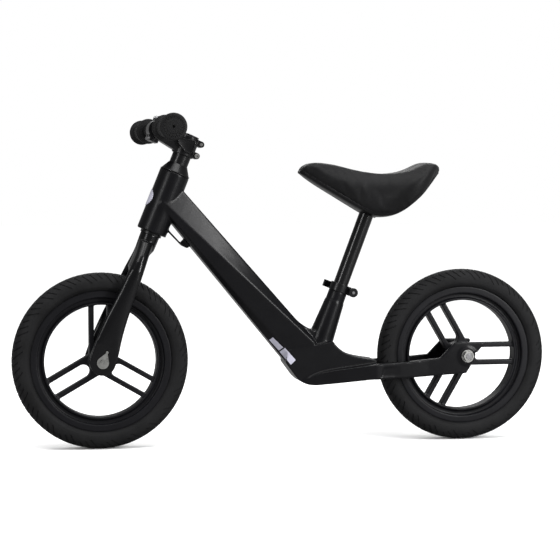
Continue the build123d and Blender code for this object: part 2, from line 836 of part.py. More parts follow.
def make_tyre():
    """Solid foam tyre with a tongue that fills the rim's channel."""
    half = tyre_width / 2
    rim_half = rim_width / 2
    half_tongue = tyre_tongue_width / 2
    tongue_foot = rim_radius - tyre_tongue_height
    shoulder = tyre_radius - tyre_shoulder_radius
    crown_drop = 3.0
    outline = [
        Line((rim_radius, -rim_half, 0), (rim_radius, -half_tongue, 0)),
        Line((rim_radius, -half_tongue, 0), (tongue_foot, -half_tongue, 0)),
        Line((tongue_foot, -half_tongue, 0), (tongue_foot, half_tongue, 0)),
        Line((tongue_foot, half_tongue, 0), (rim_radius, half_tongue, 0)),
        Line((rim_radius, half_tongue, 0), (rim_radius, rim_half, 0)),
        ThreePointArc(
            (rim_radius, rim_half, 0),
            (rim_radius + 5, half - 1.5, 0),
            (shoulder, half, 0),
        ),
        ThreePointArc(
            (shoulder, half, 0),
            (tyre_radius - crown_drop - 1, half - 9, 0),
            (tyre_radius, 0, 0),
        ),
        ThreePointArc(
            (tyre_radius, 0, 0),
            (tyre_radius - crown_drop - 1, -half + 9, 0),
            (shoulder, -half, 0),
        ),
        ThreePointArc(
            (shoulder, -half, 0),
            (rim_radius + 5, -half + 1.5, 0),
            (rim_radius, -rim_half, 0),
        ),
    ]
    return revolve(make_face(outline), axis=Axis.Y)


def wheel_bearing_parts():
    """Outer rings, inner rings and balls of both bearings of one wheel."""
    outer_radius = wheel_bearing_diameter / 2
    race_out = outer_radius - wheel_bearing_outer_ring
    race_in = axle_radius + wheel_bearing_inner_ring
    ball_radius = (race_out - race_in) / 2 - running_clearance
    pitch = (race_out + race_in) / 2
    high = hub_length / 2
    low = high - wheel_bearing_width
    outer = Rot(-90, 0, 0) * ring(outer_radius, race_out, low, high)
    inner = Rot(-90, 0, 0) * ring(race_in, axle_radius, low, high)
    balls = []
    for n in range(wheel_bearing_balls):
        turn = Rot(0, 360 * n / wheel_bearing_balls, 0)
        balls.append(turn * Pos(pitch, (low + high) / 2, 0) * Sphere(ball_radius))
    all_balls = [copy for ball in balls for copy in mirrored(ball)]
    return (
        Compound(children=mirrored(outer)),
        Compound(children=mirrored(inner)),
        Compound(children=all_balls),
    )


def make_hub_spacers():
    """Sleeves on the axle: one between the bearings and one outside each of them."""
    outside = ring(axle_radius + 2.4, axle_radius, hub_length / 2, dropout_inner_half)
    half_gap = hub_length / 2 - wheel_bearing_width
    middle = ring(axle_radius + 2.0, axle_radius, -half_gap, half_gap)
    sleeves = mirrored(Rot(-90, 0, 0) * outside) + [Rot(-90, 0, 0) * middle]
    return Compound(children=sleeves)


def make_rear_axle():
    """Threaded solid axle."""
    half = dropout_outer_half + boss_height + washer_thickness + axle_nut_height - 0.5
    return Rot(-90, 0, 0) * rod(axle_radius, -half, half)


def make_rear_washers():
    """Plain washers under the axle nuts."""
    low = dropout_outer_half + boss_height
    washer = Rot(-90, 0, 0) * ring(axle_nut_radius + 1.4, axle_radius, low, low + washer_thickness)
    return Compound(children=mirrored(washer))


def make_rear_nuts():
    """Hexagon nuts of the rear axle, dished round the axle's end."""
    low = dropout_outer_half + boss_height + washer_thickness
    hexagon = Pos(0, 0, low) * extrude(RegularPolygon(axle_nut_radius, 6), amount=axle_nut_height)
    dish = rod(axle_radius + 1.4, low + axle_nut_height - 1.5, low + axle_nut_height + 1)
    nut = hexagon - rod(axle_radius, low - 1, low + 40) - dish
    return Compound(children=mirrored(Rot(-90, 0, 0) * nut))


def make_front_axle():
    """Plain axle tapped at both ends for the axle bolts."""
    half = fork_dropout_outer_half + washer_thickness
    bar = rod(axle_radius, -half, half)
    tap = rod(3, half - 20, half + 1)
    turned = Rot(-90, 0, 0) * bar
    for side in mirrored(Rot(-90, 0, 0) * tap):
        turned -= side
    return turned


def make_front_axle_bolts():
    """Domed bolts that hold the front axle and its tab washers."""
    low = fork_dropout_outer_half + washer_thickness
    shank = rod(3, low - 18, low)
    head = rod(7, low, low + 1.2) + rod(5.2, low + 1.2, low + 4)
    socket = extrude(Pos(0, 0, low + 2) * RegularPolygon(2.3, 6), amount=4)
    bolt = shank + head - socket
    return Compound(children=mirrored(Rot(-90, 0, 0) * bolt))


def at_front(shape):
    """Place a wheel piece on the front axle."""
    return Pos(front_hub_x, 0, tyre_radius) * shape


def at_rear(shape):
    """Place a wheel piece on the rear axle."""
    return Pos(rear_hub_x, 0, tyre_radius) * shape


# ---------------------------------------------------------------- seat
def saddle_frame_point(forward, up):
    """Row X and Z of a point given from where the post enters the saddle."""
    x, z = seat_point(0, post_exposed)
    return x + forward, z + up


def saddle_bottom_points():
    """Underside of the saddle from its nose to its tail."""
    raw = [
        (125, 65),
        (96, 45),
        (64, 26),
        (30, 6),
        (14, -3),
        (-1, -9.5),
        (-20, -11.5),
        (-40, -7.5),
        (-56, 1),
        (-69, 11),
        (-83, 23),
        (-96, 36),
        (-112, 52),
        (-127, 64),
    ]
    return [saddle_frame_point(forward, up) for forward, up in raw]


def saddle_top_points():
    """Seating line of the saddle from its tail to its nose."""
    raw = [
        (-127, 64),
        (-122, 75),
        (-109, 83),
        (-91, 77.5),
        (-78, 71),
        (-60, 65),
        (-41, 62),
        (-22, 61),
        (0, 63),
        (20, 66.5),
        (55, 75),
        (80, 81),
        (97, 83),
        (114, 78.5),
        (125, 65),
    ]
    return [saddle_frame_point(forward, up) for forward, up in raw]


def saddle_plan():
    """Upright column with the saddle's plan outline."""
    centre_x, _ = seat_point(0, post_exposed)
    nose = saddle_nose_half_width
    rear = saddle_rear_half_width
    half = [
        (centre_x + 114, nose * 0.75),
        (centre_x + 80, nose),
        (centre_x + 20, nose * 1.2),
        (centre_x - 32, rear * 0.78),
        (centre_x - 76, rear),
        (centre_x - 112, rear * 0.62),
    ]
    nose_tip = (centre_x + 126, 0, 0)
    tail_tip = (centre_x - 127.5, 0, 0)
    left = [(x, y, 0) for x, y in half]
    right = [(x, -y, 0) for x, y in reversed(half)]
    outline = Spline(nose_tip, *left, tail_tip, *right, periodic=True)
    return extrude(make_face(outline), amount=4 * tyre_diameter)


def saddle_body():
    """Whole saddle: its side outline across the width of its plan."""
    edges = [Spline(*at_xz(saddle_bottom_points())), Spline(*at_xz(saddle_top_points()))]
    half = 2 * saddle_rear_half_width
    return side_slab(edges, -half, half) & saddle_plan()


def saddle_pan_room():
    """Everything below the line where the pan meets the pad."""
    lifted = [(x, z + saddle_base_thickness) for x, z in saddle_bottom_points()]
    ground = [lifted[-1], (lifted[-1][0] - 20, lifted[-1][1]), (lifted[-1][0] - 20, 0)]
    ground += [(lifted[0][0] + 20, 0), (lifted[0][0] + 20, lifted[0][1]), lifted[0]]
    half = 2 * saddle_rear_half_width
    return side_slab([Spline(*at_xz(lifted)), Polyline(*at_xz(ground))], -half, half)


def socket_radius():
    """Outer radius of the socket that holds the post's top."""
    return post_radius + saddle_socket_wall


def make_saddle_base():
    """Plastic pan with a socket for the post."""
    pan = saddle_body() & saddle_pan_room()
    top = post_exposed + post_in_saddle
    socket = on_seat(rod(socket_radius(), post_exposed - 8, top + 3))
    bore = on_seat(rod(post_radius, 0, top))
    bolt_hole = on_seat(Pos(0, 0, top - 12) * Rot(-90, 0, 0) * rod(saddle_bolt_diameter / 2, -60, 60))
    return pan + socket - bore - bolt_hole


def make_saddle_pad():
    """Padded top of the saddle, hollow round the socket."""
    body = saddle_body() - saddle_pan_room()
    cavity = on_seat(rod(socket_radius() + 6, -20, post_exposed + post_in_saddle + 7))
    return body - cavity


def make_seat_post():
    """Round post, drilled near its top for the saddle bolt."""
    tube = ring(post_radius, post_radius - post_wall, -post_insertion, post_exposed + post_in_saddle)
    height = post_exposed + post_in_saddle - 12
    hole = Pos(0, 0, height) * Rot(-90, 0, 0) * rod(saddle_bolt_diameter / 2, -40, 40)
    return on_seat(tube - hole)


def make_saddle_bolt():
    """Cross bolt through the socket and the post."""
    half = socket_radius()
    shank = rod(saddle_bolt_diameter / 2, -half - 3, half)
    head = rod(4.2, half, half + 3)
    place = Pos(0, 0, post_exposed + post_in_saddle - 12) * Rot(-90, 0, 0)
    return on_seat(place * (shank + head))


def make_saddle_nut():
    """Nut of the saddle bolt."""
    half = socket_radius()
    body = Pos(0, 0, -half - 3.5) * extrude(RegularPolygon(4.6, 6), amount=3.5)
    nut = body - rod(saddle_bolt_diameter / 2, -60, 0)
    place = Pos(0, 0, post_exposed + post_in_saddle - 12) * Rot(-90, 0, 0)
    return on_seat(place * nut)


# ---------------------------------------------------------------- seat clamp
def skewer_place():
    """Local place of the skewer's axis, its z axis turned onto +Y."""
    return Pos(-skewer_offset, 0, -clamp_height / 2) * Rot(-90, 0, 0)


def make_clamp_ring():
    """Split ring round the seat tube with two ears at the back."""
    inner = seat_tube_upper_diameter / 2
    outer = inner + clamp_wall
    body = ring(outer, inner, -clamp_height, 0)
    ear_width = (-clamp_ear_half_width, clamp_ear_half_width)
    ears = block((-clamp_ear_reach, -inner), ear_width, (-clamp_height, 0))
    ears -= rod(inner, -clamp_height - 1, 1)
    body += ears
    body -= block((-60, -5), (-clamp_ear_gap / 2, clamp_ear_gap / 2), (-clamp_height - 1, 1))
    body -= skewer_place() * rod(skewer_diameter / 2, -40, 40)
    return on_seat(body)


def pivot_side():
    """Distance of the lever's pivot from the centre plane, towards -Y."""
    return clamp_ear_half_width + cam_washer_thickness + cam_radius + cam_eccentricity + cam_gap


def make_skewer():
    """Rod through the ears with an eye for the lever's pivot pin."""
    shaft_end = clamp_ear_half_width + adjuster_length + 1
    shaft = skewer_place() * rod(skewer_diameter / 2, -pivot_side(), shaft_end)
    eye_half = lever_height / 2 - lever_cheek - part_gap
    eye = Pos(-skewer_offset, -pivot_side(), -clamp_height / 2) * rod(4.2, -eye_half, eye_half)
    pin_place = Pos(-skewer_offset, -pivot_side(), -clamp_height / 2)
    hole = pin_place * rod(lever_pin_radius + running_clearance, -20, 20)
    return on_seat(shaft + eye - hole)


def make_cam_washer():
    """Washer that the lever's cam presses on."""
    low = -clamp_ear_half_width - cam_washer_thickness
    washer = ring(6.8, skewer_diameter / 2, low, -clamp_ear_half_width)
    return on_seat(skewer_place() * washer)


def make_adjuster():
    """Round knurled nut on the skewer's left end."""
    low = clamp_ear_half_width
    high = low + adjuster_length
    body = rod(adjuster_radius, low + part_gap, high)
    body -= rod(skewer_diameter / 2 + running_clearance, low - 1, high + 2)
    return on_seat(skewer_place() * body)


def make_lever():
    """Cam lever: forked cam head behind the tube, blade wrapping forward beside it."""
    half = lever_height / 2
    centre_y = -pivot_side()
    start_x = -skewer_offset
    head = Pos(start_x, centre_y + cam_eccentricity, -clamp_height / 2) * rod(cam_radius, -half, half)
    blade_y = -pivot_side() - 5
    blade = Polyline(
        (start_x, centre_y - 5.0, 0),
        (start_x + 4, blade_y - 2.5, 0),
        (start_x + 24, blade_y - 4.5, 0),
        (lever_reach - 12, blade_y - 2.5, 0),
        (lever_reach, blade_y + 2.5, 0),
        (lever_reach - 1.5, blade_y + 2.5 + lever_thickness, 0),
        (lever_reach - 13, blade_y - 2.5 + lever_thickness, 0),
        (start_x + 24, blade_y - 4.5 + lever_thickness, 0),
        (start_x + 9, centre_y + 2.0, 0),
        (start_x + 2, centre_y + 2.0, 0),
        close=True,
    )
    arm = Pos(0, 0, -clamp_height / 2 - half) * extrude(make_face(blade), amount=lever_height)
    body = head + arm
    slot_half = half - lever_cheek
    pivot = Pos(start_x, centre_y, -clamp_height / 2)
    eye_room = pivot * rod(4.8, -slot_half, slot_half)
    skewer_room = pivot * block((-20, skewer_diameter / 2 + 0.5), (-20, 20), (-slot_half, slot_half))
    pin_hole = pivot * rod(lever_pin_radius, -20, 20)
    return on_seat(body - eye_room - skewer_room - pin_hole)


def make_lever_pin():
    """Pivot pin of the lever."""
    half = lever_height / 2
    pin_place = Pos(-skewer_offset, -pivot_side(), -clamp_height / 2)
    return on_seat(pin_place * rod(lever_pin_radius, -half, half))


# ---------------------------------------------------------------- decals
def make_badge():
    """Blank round badge wrapped on the front of the head tube."""
    middle = (head_low + head_top) / 2
    shell = ring(head_tube_radius + badge_thickness, head_tube_radius, head_low, head_top)
    cutter = Pos(0, 0, middle) * Rot(0, 90, 0) * rod(badge_diameter / 2, 5, 60)
    return on_steering(shell & cutter)


def write(name, shape):
    """Write one node's STEP file."""
    export_step(shape, f"parts/{name}.step")


def main():
    os.makedirs("parts", exist_ok=True)
    write("frame", make_frame())
    write("head_badge", make_badge())

    low_outer, low_inner, low_balls = headset_rings(head_low + headset_bearing_recess)
    high_seat = head_top - headset_bearing_recess - headset_bearing_height
    high_outer, high_inner, high_balls = headset_rings(high_seat)
    write("lower_headset_outer_ring", low_outer)
    write("lower_headset_inner_ring", low_inner)
    write("lower_headset_balls", low_balls)
    write("upper_headset_outer_ring", high_outer)
    write("upper_headset_inner_ring", high_inner)
    write("upper_headset_balls", high_balls)
    write("headset_crown_race", make_crown_race())
    write("headset_compression_ring", make_compression_ring())
    write("headset_top_cover", make_top_cover())
    write("headset_spacer", make_spacer())

    write("fork", make_fork())
    write("steerer_tube", make_steerer())
    write("stem", make_stem())
    write("stem_pinch_bolts", make_pinch_bolts())
    write("stem_faceplate", make_faceplate())
    write("stem_faceplate_bolts", make_faceplate_bolts())
    write("stem_top_cap", make_top_cap())
    write("stem_top_cap_bolt", make_top_cap_bolt())
    write("stem_star_nut", make_star_nut())
    write("handlebar", make_handlebar())
    left, right = mirrored(make_grip())
    write("left_grip", left)
    write("right_grip", right)

    bearing_outer, bearing_inner, bearing_balls = wheel_bearing_parts()
    tyre = make_tyre()
    spacers = make_hub_spacers()
    wheels = (("front", at_front, front_spoke_angle), ("rear", at_rear, rear_spoke_angle))
    for name, place, angle in wheels:
        write(f"{name}_rim", place(make_rim(angle)))
        write(f"{name}_tyre", place(tyre))
        write(f"{name}_bearing_outer_rings", place(bearing_outer))
        write(f"{name}_bearing_inner_rings", place(bearing_inner))
        write(f"{name}_bearing_balls", place(bearing_balls))
        write(f"{name}_axle_sleeves", place(spacers))
    write("front_axle", at_front(make_front_axle()))
    write("front_axle_bolts", at_front(make_front_axle_bolts()))
    write("front_tab_washers", make_tab_washers())
    write("rear_axle", at_rear(make_rear_axle()))
    write("rear_axle_washers", at_rear(make_rear_washers()))
    write("rear_axle_nuts", at_rear(make_rear_nuts()))

    write("seat_post", make_seat_post())
    write("saddle_base", make_saddle_base())
    write("saddle_pad", make_saddle_pad())
    write("saddle_bolt", make_saddle_bolt())
    write("saddle_nut", make_saddle_nut())
    write("seat_clamp_ring", make_clamp_ring())
    write("seat_clamp_skewer", make_skewer())
    write("seat_clamp_cam_washer", make_cam_washer())
    write("seat_clamp_adjuster", make_adjuster())
    write("seat_clamp_lever", make_lever())
    write("seat_clamp_lever_pin", make_lever_pin())


main()
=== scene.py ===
import json
import math

import bmesh
import bpy
from mathutils import Matrix, Vector


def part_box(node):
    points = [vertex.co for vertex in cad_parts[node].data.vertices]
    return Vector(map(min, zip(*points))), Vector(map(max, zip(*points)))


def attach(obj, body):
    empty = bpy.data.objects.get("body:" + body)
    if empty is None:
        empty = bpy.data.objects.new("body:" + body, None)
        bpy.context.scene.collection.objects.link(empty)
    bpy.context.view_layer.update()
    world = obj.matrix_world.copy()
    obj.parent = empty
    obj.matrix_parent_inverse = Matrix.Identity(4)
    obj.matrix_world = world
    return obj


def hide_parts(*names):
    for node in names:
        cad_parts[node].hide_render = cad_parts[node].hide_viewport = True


bl_info = {
    "name": "Balance Bike",
    "version": (1, 0, 0),
    "blender": (4, 5, 0),
    "location": "View3D > Sidebar > Balance Bike",
    "description": "Finishes a toddler's balance bike over its fixed engineering model",
    "category": "Object",
}

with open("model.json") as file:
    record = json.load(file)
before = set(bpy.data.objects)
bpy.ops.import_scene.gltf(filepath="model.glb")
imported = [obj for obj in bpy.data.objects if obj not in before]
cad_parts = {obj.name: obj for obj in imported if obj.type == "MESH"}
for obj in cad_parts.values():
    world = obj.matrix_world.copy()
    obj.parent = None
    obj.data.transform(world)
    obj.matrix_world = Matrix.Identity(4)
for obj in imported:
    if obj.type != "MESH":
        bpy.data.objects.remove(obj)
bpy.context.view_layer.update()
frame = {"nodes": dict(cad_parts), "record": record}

MM = 0.001
MERGE_DISTANCE = 2e-6
HEAD_ANGLE = math.radians(68.0)
STEM_SIDE_HALF = 19.0        # millimetres from the centre plane
SHIELD_OUTLINE = [(21, 400), (-9, 406), (-13, 401), (-11, 381), (1, 382), (15, 390)]


# ---------------------------------------------------------------- settings

class BikeSizes(bpy.types.PropertyGroup):
    """Sizes of the soft edges and the fine detail."""

    casting_voxel: bpy.props.FloatProperty(
        name="Casting Voxel", description="Cell that rounds the edges of the cast frame",
        default=1.5 * MM, min=0.5 * MM, unit="LENGTH")
    fork_voxel: bpy.props.FloatProperty(
        name="Fork Voxel", description="Cell that rounds the edges of the fork",
        default=1.1 * MM, min=0.5 * MM, unit="LENGTH")
    wheel_voxel: bpy.props.FloatProperty(
        name="Wheel Voxel", description="Cell that rounds the edges of the moulded wheels",
        default=1.25 * MM, min=0.5 * MM, unit="LENGTH")
    small_voxel: bpy.props.FloatProperty(
        name="Small Part Voxel", description="Cell that rounds the edges of the stem and lever",
        default=0.6 * MM, min=0.3 * MM, unit="LENGTH")
    tread_pitch: bpy.props.IntProperty(
        name="Tread Pitches", description="Number of slanted cuts round each tyre shoulder",
        default=72, min=12)
    sipe_depth: bpy.props.FloatProperty(
        name="Sipe Depth", description="Depth of the slanted cuts in the tyres",
        default=1.3 * MM, min=0.0, unit="LENGTH")
    grip_rib_pitch: bpy.props.FloatProperty(
        name="Grip Rib Pitch", description="Distance between the ribs of a grip",
        default=4.0 * MM, min=1.0 * MM, unit="LENGTH")
    saddle_voxel: bpy.props.FloatProperty(
        name="Saddle Voxel", description="Cell of the saddle pad before it is inflated",
        default=4.0 * MM, min=2.0 * MM, unit="LENGTH")
    saddle_pressure: bpy.props.FloatProperty(
        name="Saddle Pressure", description="Air pressure that plumps the saddle pad",
        default=4.0, min=0.0)
    saddle_swell: bpy.props.FloatProperty(
        name="Saddle Swell", description="Furthest that the saddle skin may move as it is plumped",
        default=3.0 * MM, min=0.0, unit="LENGTH")


class BikeColours(bpy.types.PropertyGroup):
    """Colours of the finishes."""

    frame_paint: bpy.props.FloatVectorProperty(
        name="Frame Paint", description="Satin black of the cast frame",
        default=(0.0026, 0.0026, 0.0031), size=3, subtype="COLOR", min=0.0, max=1.0)
    fork_paint: bpy.props.FloatVectorProperty(
        name="Fork Paint", description="Black of the fork and the bar",
        default=(0.0022, 0.0022, 0.0025), size=3, subtype="COLOR", min=0.0, max=1.0)
    wheel_plastic: bpy.props.FloatVectorProperty(
        name="Wheel Plastic", description="Charcoal of the moulded wheels",
        default=(0.0034, 0.0034, 0.0042), size=3, subtype="COLOR", min=0.0, max=1.0)
    tyre_foam: bpy.props.FloatVectorProperty(
        name="Tyre Foam", description="Dark grey of the foam tyres",
        default=(0.0042, 0.0042, 0.0045), size=3, subtype="COLOR", min=0.0, max=1.0)
    saddle_skin: bpy.props.FloatVectorProperty(
        name="Saddle Skin", description="Black of the soft saddle skin",
        default=(0.0032, 0.0032, 0.0035), size=3, subtype="COLOR", min=0.0, max=1.0)
    badge: bpy.props.FloatVectorProperty(
        name="Badge", description="Pale lilac of the blank badge and label",
        default=(0.30, 0.297, 0.355), size=3, subtype="COLOR", min=0.0, max=1.0)
    floor: bpy.props.FloatVectorProperty(
        name="Floor", description="Pale floor under the bike",
        default=(0.93, 0.93, 0.93), size=3, subtype="COLOR", min=0.0, max=1.0)
    floor_bounce: bpy.props.FloatProperty(
        name="Floor Bounce", description="Share of the floor's brightness that falls on the bike",
        default=0.35, min=0.0, max=1.0)


def sizes():
    """Sizes that the user has set."""
    return bpy.context.scene.bike_sizes


def colours():
    """Colours that the user has set."""
    return bpy.context.scene.bike_colours


# ---------------------------------------------------------------- material groups

def new_group(name, inputs, outputs):
    """Shader node group with its sockets, its node list and its two end nodes."""
    group = bpy.data.node_groups.new(name, "ShaderNodeTree")
    for label, kind, value in inputs:
        socket = group.interface.new_socket(label, in_out="INPUT", socket_type=kind)
        if value is not None:
            socket.default_value = value
    for label, kind in outputs:
        group.interface.new_socket(label, in_out="OUTPUT", socket_type=kind)
    start = group.nodes.new("NodeGroupInput")
    end = group.nodes.new("NodeGroupOutput")
    return group, start, end


def range_node(group, source, low, high):
    """Maps a 0 to 1 value on to low to high."""
    node = group.nodes.new("ShaderNodeMapRange")
    group.links.new(source, node.inputs["Value"])
    for socket, value in (("To Min", low), ("To Max", high)):
        if isinstance(value, float):
            node.inputs[socket].default_value = value
        else:
            group.links.new(value, node.inputs[socket])
    return node.outputs["Result"]


def paint_group():
    """Painted or moulded surface: cloudy gloss, faint dust and a fine orange peel."""
    group = bpy.data.node_groups.get("Moulded Surface")
    if group:
        return group
    group, start, end = new_group(
        "Moulded Surface",
        [("Vector", "NodeSocketVector", None), ("Cloud Scale", "NodeSocketFloat", 14.0),
         ("Peel Scale", "NodeSocketFloat", 700.0), ("Gloss", "NodeSocketFloat", 0.3),
         ("Dull", "NodeSocketFloat", 0.45)],
        [("Mask", "NodeSocketFloat"), ("Roughness", "NodeSocketFloat"),
         ("Height", "NodeSocketFloat")])
    cloud = group.nodes.new("ShaderNodeTexNoise")
    cloud.inputs["Detail"].default_value = 6.0
    cloud.inputs["Roughness"].default_value = 0.62
    peel = group.nodes.new("ShaderNodeTexNoise")
    peel.inputs["Detail"].default_value = 2.0
    speck = group.nodes.new("ShaderNodeTexVoronoi")
    speck.inputs["Scale"].default_value = 420.0
    spots = group.nodes.new("ShaderNodeMapRange")
    spots.inputs["From Min"].default_value = 0.10
    spots.inputs["From Max"].default_value = 0.0
    mask = group.nodes.new("ShaderNodeMath")
    mask.operation = "MULTIPLY_ADD"
    mask.inputs[1].default_value = 0.25
    mask.use_clamp = True
    link = group.links.new
    link(start.outputs["Vector"], cloud.inputs["Vector"])
    link(start.outputs["Cloud Scale"], cloud.inputs["Scale"])
    link(start.outputs["Vector"], peel.inputs["Vector"])
    link(start.outputs["Peel Scale"], peel.inputs["Scale"])
    link(start.outputs["Vector"], speck.inputs["Vector"])
    link(speck.outputs["Distance"], spots.inputs["Value"])
    link(spots.outputs["Result"], mask.inputs[0])
    link(cloud.outputs["Fac"], mask.inputs[2])
    link(mask.outputs["Value"], end.inputs["Mask"])
    rough = range_node(group, cloud.outputs["Fac"], start.outputs["Gloss"], start.outputs["Dull"])
    link(rough, end.inputs["Roughness"])
    link(peel.outputs["Fac"], end.inputs["Height"])
    return group


def hide_group():
    """Leather-like cells with fine creases between them."""
    group = bpy.data.node_groups.get("Grained Skin")
    if group:
        return group
    group, start, end = new_group(
        "Grained Skin",
        [("Vector", "NodeSocketVector", None), ("Cell Scale", "NodeSocketFloat", 520.0),
         ("Crease", "NodeSocketFloat", 0.12)],
        [("Mask", "NodeSocketFloat"), ("Height", "NodeSocketFloat")])
    wobble = group.nodes.new("ShaderNodeTexNoise")
    wobble.inputs["Scale"].default_value = 160.0
    wobble.inputs["Detail"].default_value = 3.0
    push = group.nodes.new("ShaderNodeVectorMath")
    push.operation = "MULTIPLY_ADD"
    push.inputs[1].default_value = (0.0022, 0.0022, 0.0022)
    cells = group.nodes.new("ShaderNodeTexVoronoi")
    cells.feature = "DISTANCE_TO_EDGE"
    crease = group.nodes.new("ShaderNodeMapRange")
    link = group.links.new
    link(start.outputs["Vector"], wobble.inputs["Vector"])
    link(wobble.outputs["Color"], push.inputs[0])
    link(start.outputs["Vector"], push.inputs[2])
    link(push.outputs["Vector"], cells.inputs["Vector"])
    link(start.outputs["Cell Scale"], cells.inputs["Scale"])
    link(cells.outputs["Distance"], crease.inputs["Value"])
    link(start.outputs["Crease"], crease.inputs["From Max"])
    link(crease.outputs["Result"], end.inputs["Height"])
    link(wobble.outputs["Fac"], end.inputs["Mask"])
    return group


def brushed_group():
    """Turned or plated metal: fine lines one way, with cloudy dull patches."""
    group = bpy.data.node_groups.get("Worked Metal")
    if group:
        return group
    group, start, end = new_group(
        "Worked Metal",
        [("Vector", "NodeSocketVector", None), ("Line Scale", "NodeSocketFloat", 900.0),
         ("Gloss", "NodeSocketFloat", 0.18), ("Dull", "NodeSocketFloat", 0.4)],
        [("Mask", "NodeSocketFloat"), ("Roughness", "NodeSocketFloat"),
         ("Height", "NodeSocketFloat")])
    lines = group.nodes.new("ShaderNodeTexNoise")
    lines.inputs["Detail"].default_value = 2.0
    squash = group.nodes.new("ShaderNodeVectorMath")
    squash.operation = "MULTIPLY"
    squash.inputs[1].default_value = (1.0, 0.06, 1.0)
    cloud = group.nodes.new("ShaderNodeTexNoise")
    cloud.inputs["Scale"].default_value = 120.0
    cloud.inputs["Detail"].default_value = 4.0
    link = group.links.new
    link(start.outputs["Vector"], squash.inputs[0])
    link(squash.outputs["Vector"], lines.inputs["Vector"])
    link(start.outputs["Line Scale"], lines.inputs["Scale"])
    link(start.outputs["Vector"], cloud.inputs["Vector"])
    link(cloud.outputs["Fac"], end.inputs["Mask"])
    rough = range_node(group, cloud.outputs["Fac"], start.outputs["Gloss"], start.outputs["Dull"])
    link(rough, end.inputs["Roughness"])
    link(lines.outputs["Fac"], end.inputs["Height"])
    return group


# ---------------------------------------------------------------- materials

def start_material(name):
    """Node material with a Principled shader and a mapped object coordinate."""
    material = bpy.data.materials.new(name)
    material.use_nodes = True
    nodes = material.node_tree.nodes
    nodes.clear()
    out = nodes.new("ShaderNodeOutputMaterial")
    shader = nodes.new("ShaderNodeBsdfPrincipled")
    coords = nodes.new("ShaderNodeTexCoord")
    mapping = nodes.new("ShaderNodeMapping")
    links = material.node_tree.links
    links.new(coords.outputs["Object"], mapping.inputs["Vector"])
    links.new(shader.outputs["BSDF"], out.inputs["Surface"])
    return material, shader, mapping


def place_group(material, group, mapping, **values):
    """Puts a shared group in a material with its own values."""
    node = material.node_tree.nodes.new("ShaderNodeGroup")
    node.node_tree = group
    material.node_tree.links.new(mapping.outputs["Vector"], node.inputs["Vector"])
    for label, value in values.items():
        node.inputs[label.replace("_", " ")].default_value = value
    return node


def blend_colours(material, mask, dark, light):
    """Colour that runs from dark to light as mask goes from 0 to 1."""
    ramp = material.node_tree.nodes.new("ShaderNodeValToRGB")
    ramp.color_ramp.elements[0].position = 0.32
    ramp.color_ramp.elements[1].position = 0.72
    ramp.color_ramp.elements[0].color = (*dark, 1.0)
    ramp.color_ramp.elements[1].color = (*light, 1.0)
    material.node_tree.links.new(mask, ramp.inputs["Fac"])
    return ramp.outputs["Color"]


def add_bump(material, shader, height, strength, distance):
    """Fine relief from a height value."""
    bump = material.node_tree.nodes.new("ShaderNodeBump")
    bump.inputs["Strength"].default_value = strength
    bump.inputs["Distance"].default_value = distance
    material.node_tree.links.new(height, bump.inputs["Height"])
    material.node_tree.links.new(bump.outputs["Normal"], shader.inputs["Normal"])


def lighter(colour, factor):
    """The same hue, brighter or darker."""
    return tuple(min(1.0, channel * factor) for channel in colour)


def coated(name, colour, gloss, dull, peel, strength, specular):
    """Paint or moulded plastic."""
    material, shader, mapping = start_material(name)
    node = place_group(material, paint_group(), mapping, Peel_Scale=peel, Gloss=gloss, Dull=dull)
    links = material.node_tree.links
    tint = blend_colours(
        material, node.outputs["Mask"], lighter(colour, 0.8), lighter(colour, 1.3))
    links.new(tint, shader.inputs["Base Color"])
    links.new(node.outputs["Roughness"], shader.inputs["Roughness"])
    shader.inputs["Specular IOR Level"].default_value = specular
    add_bump(material, shader, node.outputs["Height"], strength, 0.0002)
    return material


def metal(name, colour, gloss, dull, lines, strength=0.25):
    """Plated, turned or polished metal."""
    material, shader, mapping = start_material(name)
    node = place_group(material, brushed_group(), mapping, Line_Scale=lines, Gloss=gloss, Dull=dull)
    links = material.node_tree.links
    tint = blend_colours(
        material, node.outputs["Mask"], lighter(colour, 0.78), lighter(colour, 1.1))
    links.new(tint, shader.inputs["Base Color"])
    links.new(node.outputs["Roughness"], shader.inputs["Roughness"])
    shader.inputs["Metallic"].default_value = 1.0
    add_bump(material, shader, node.outputs["Height"], strength, 0.0001)
    return material


def foam_material(name, colour):
    """Closed-cell foam rubber: matt, finely pitted, with paler scuffs."""
    material, shader, mapping = start_material(name)
    pits = place_group(material, hide_group(), mapping, Cell_Scale=900.0, Crease=0.2)
    cloud = place_group(material, paint_group(), mapping, Cloud_Scale=22.0, Gloss=0.55, Dull=0.78)
    links = material.node_tree.links
    tint = blend_colours(
        material, cloud.outputs["Mask"], lighter(colour, 0.7), lighter(colour, 1.7))
    links.new(tint, shader.inputs["Base Color"])
    links.new(cloud.outputs["Roughness"], shader.inputs["Roughness"])
    shader.inputs["Specular IOR Level"].default_value = 0.10
    add_bump(material, shader, pits.outputs["Height"], 0.35, 0.00025)
    return material


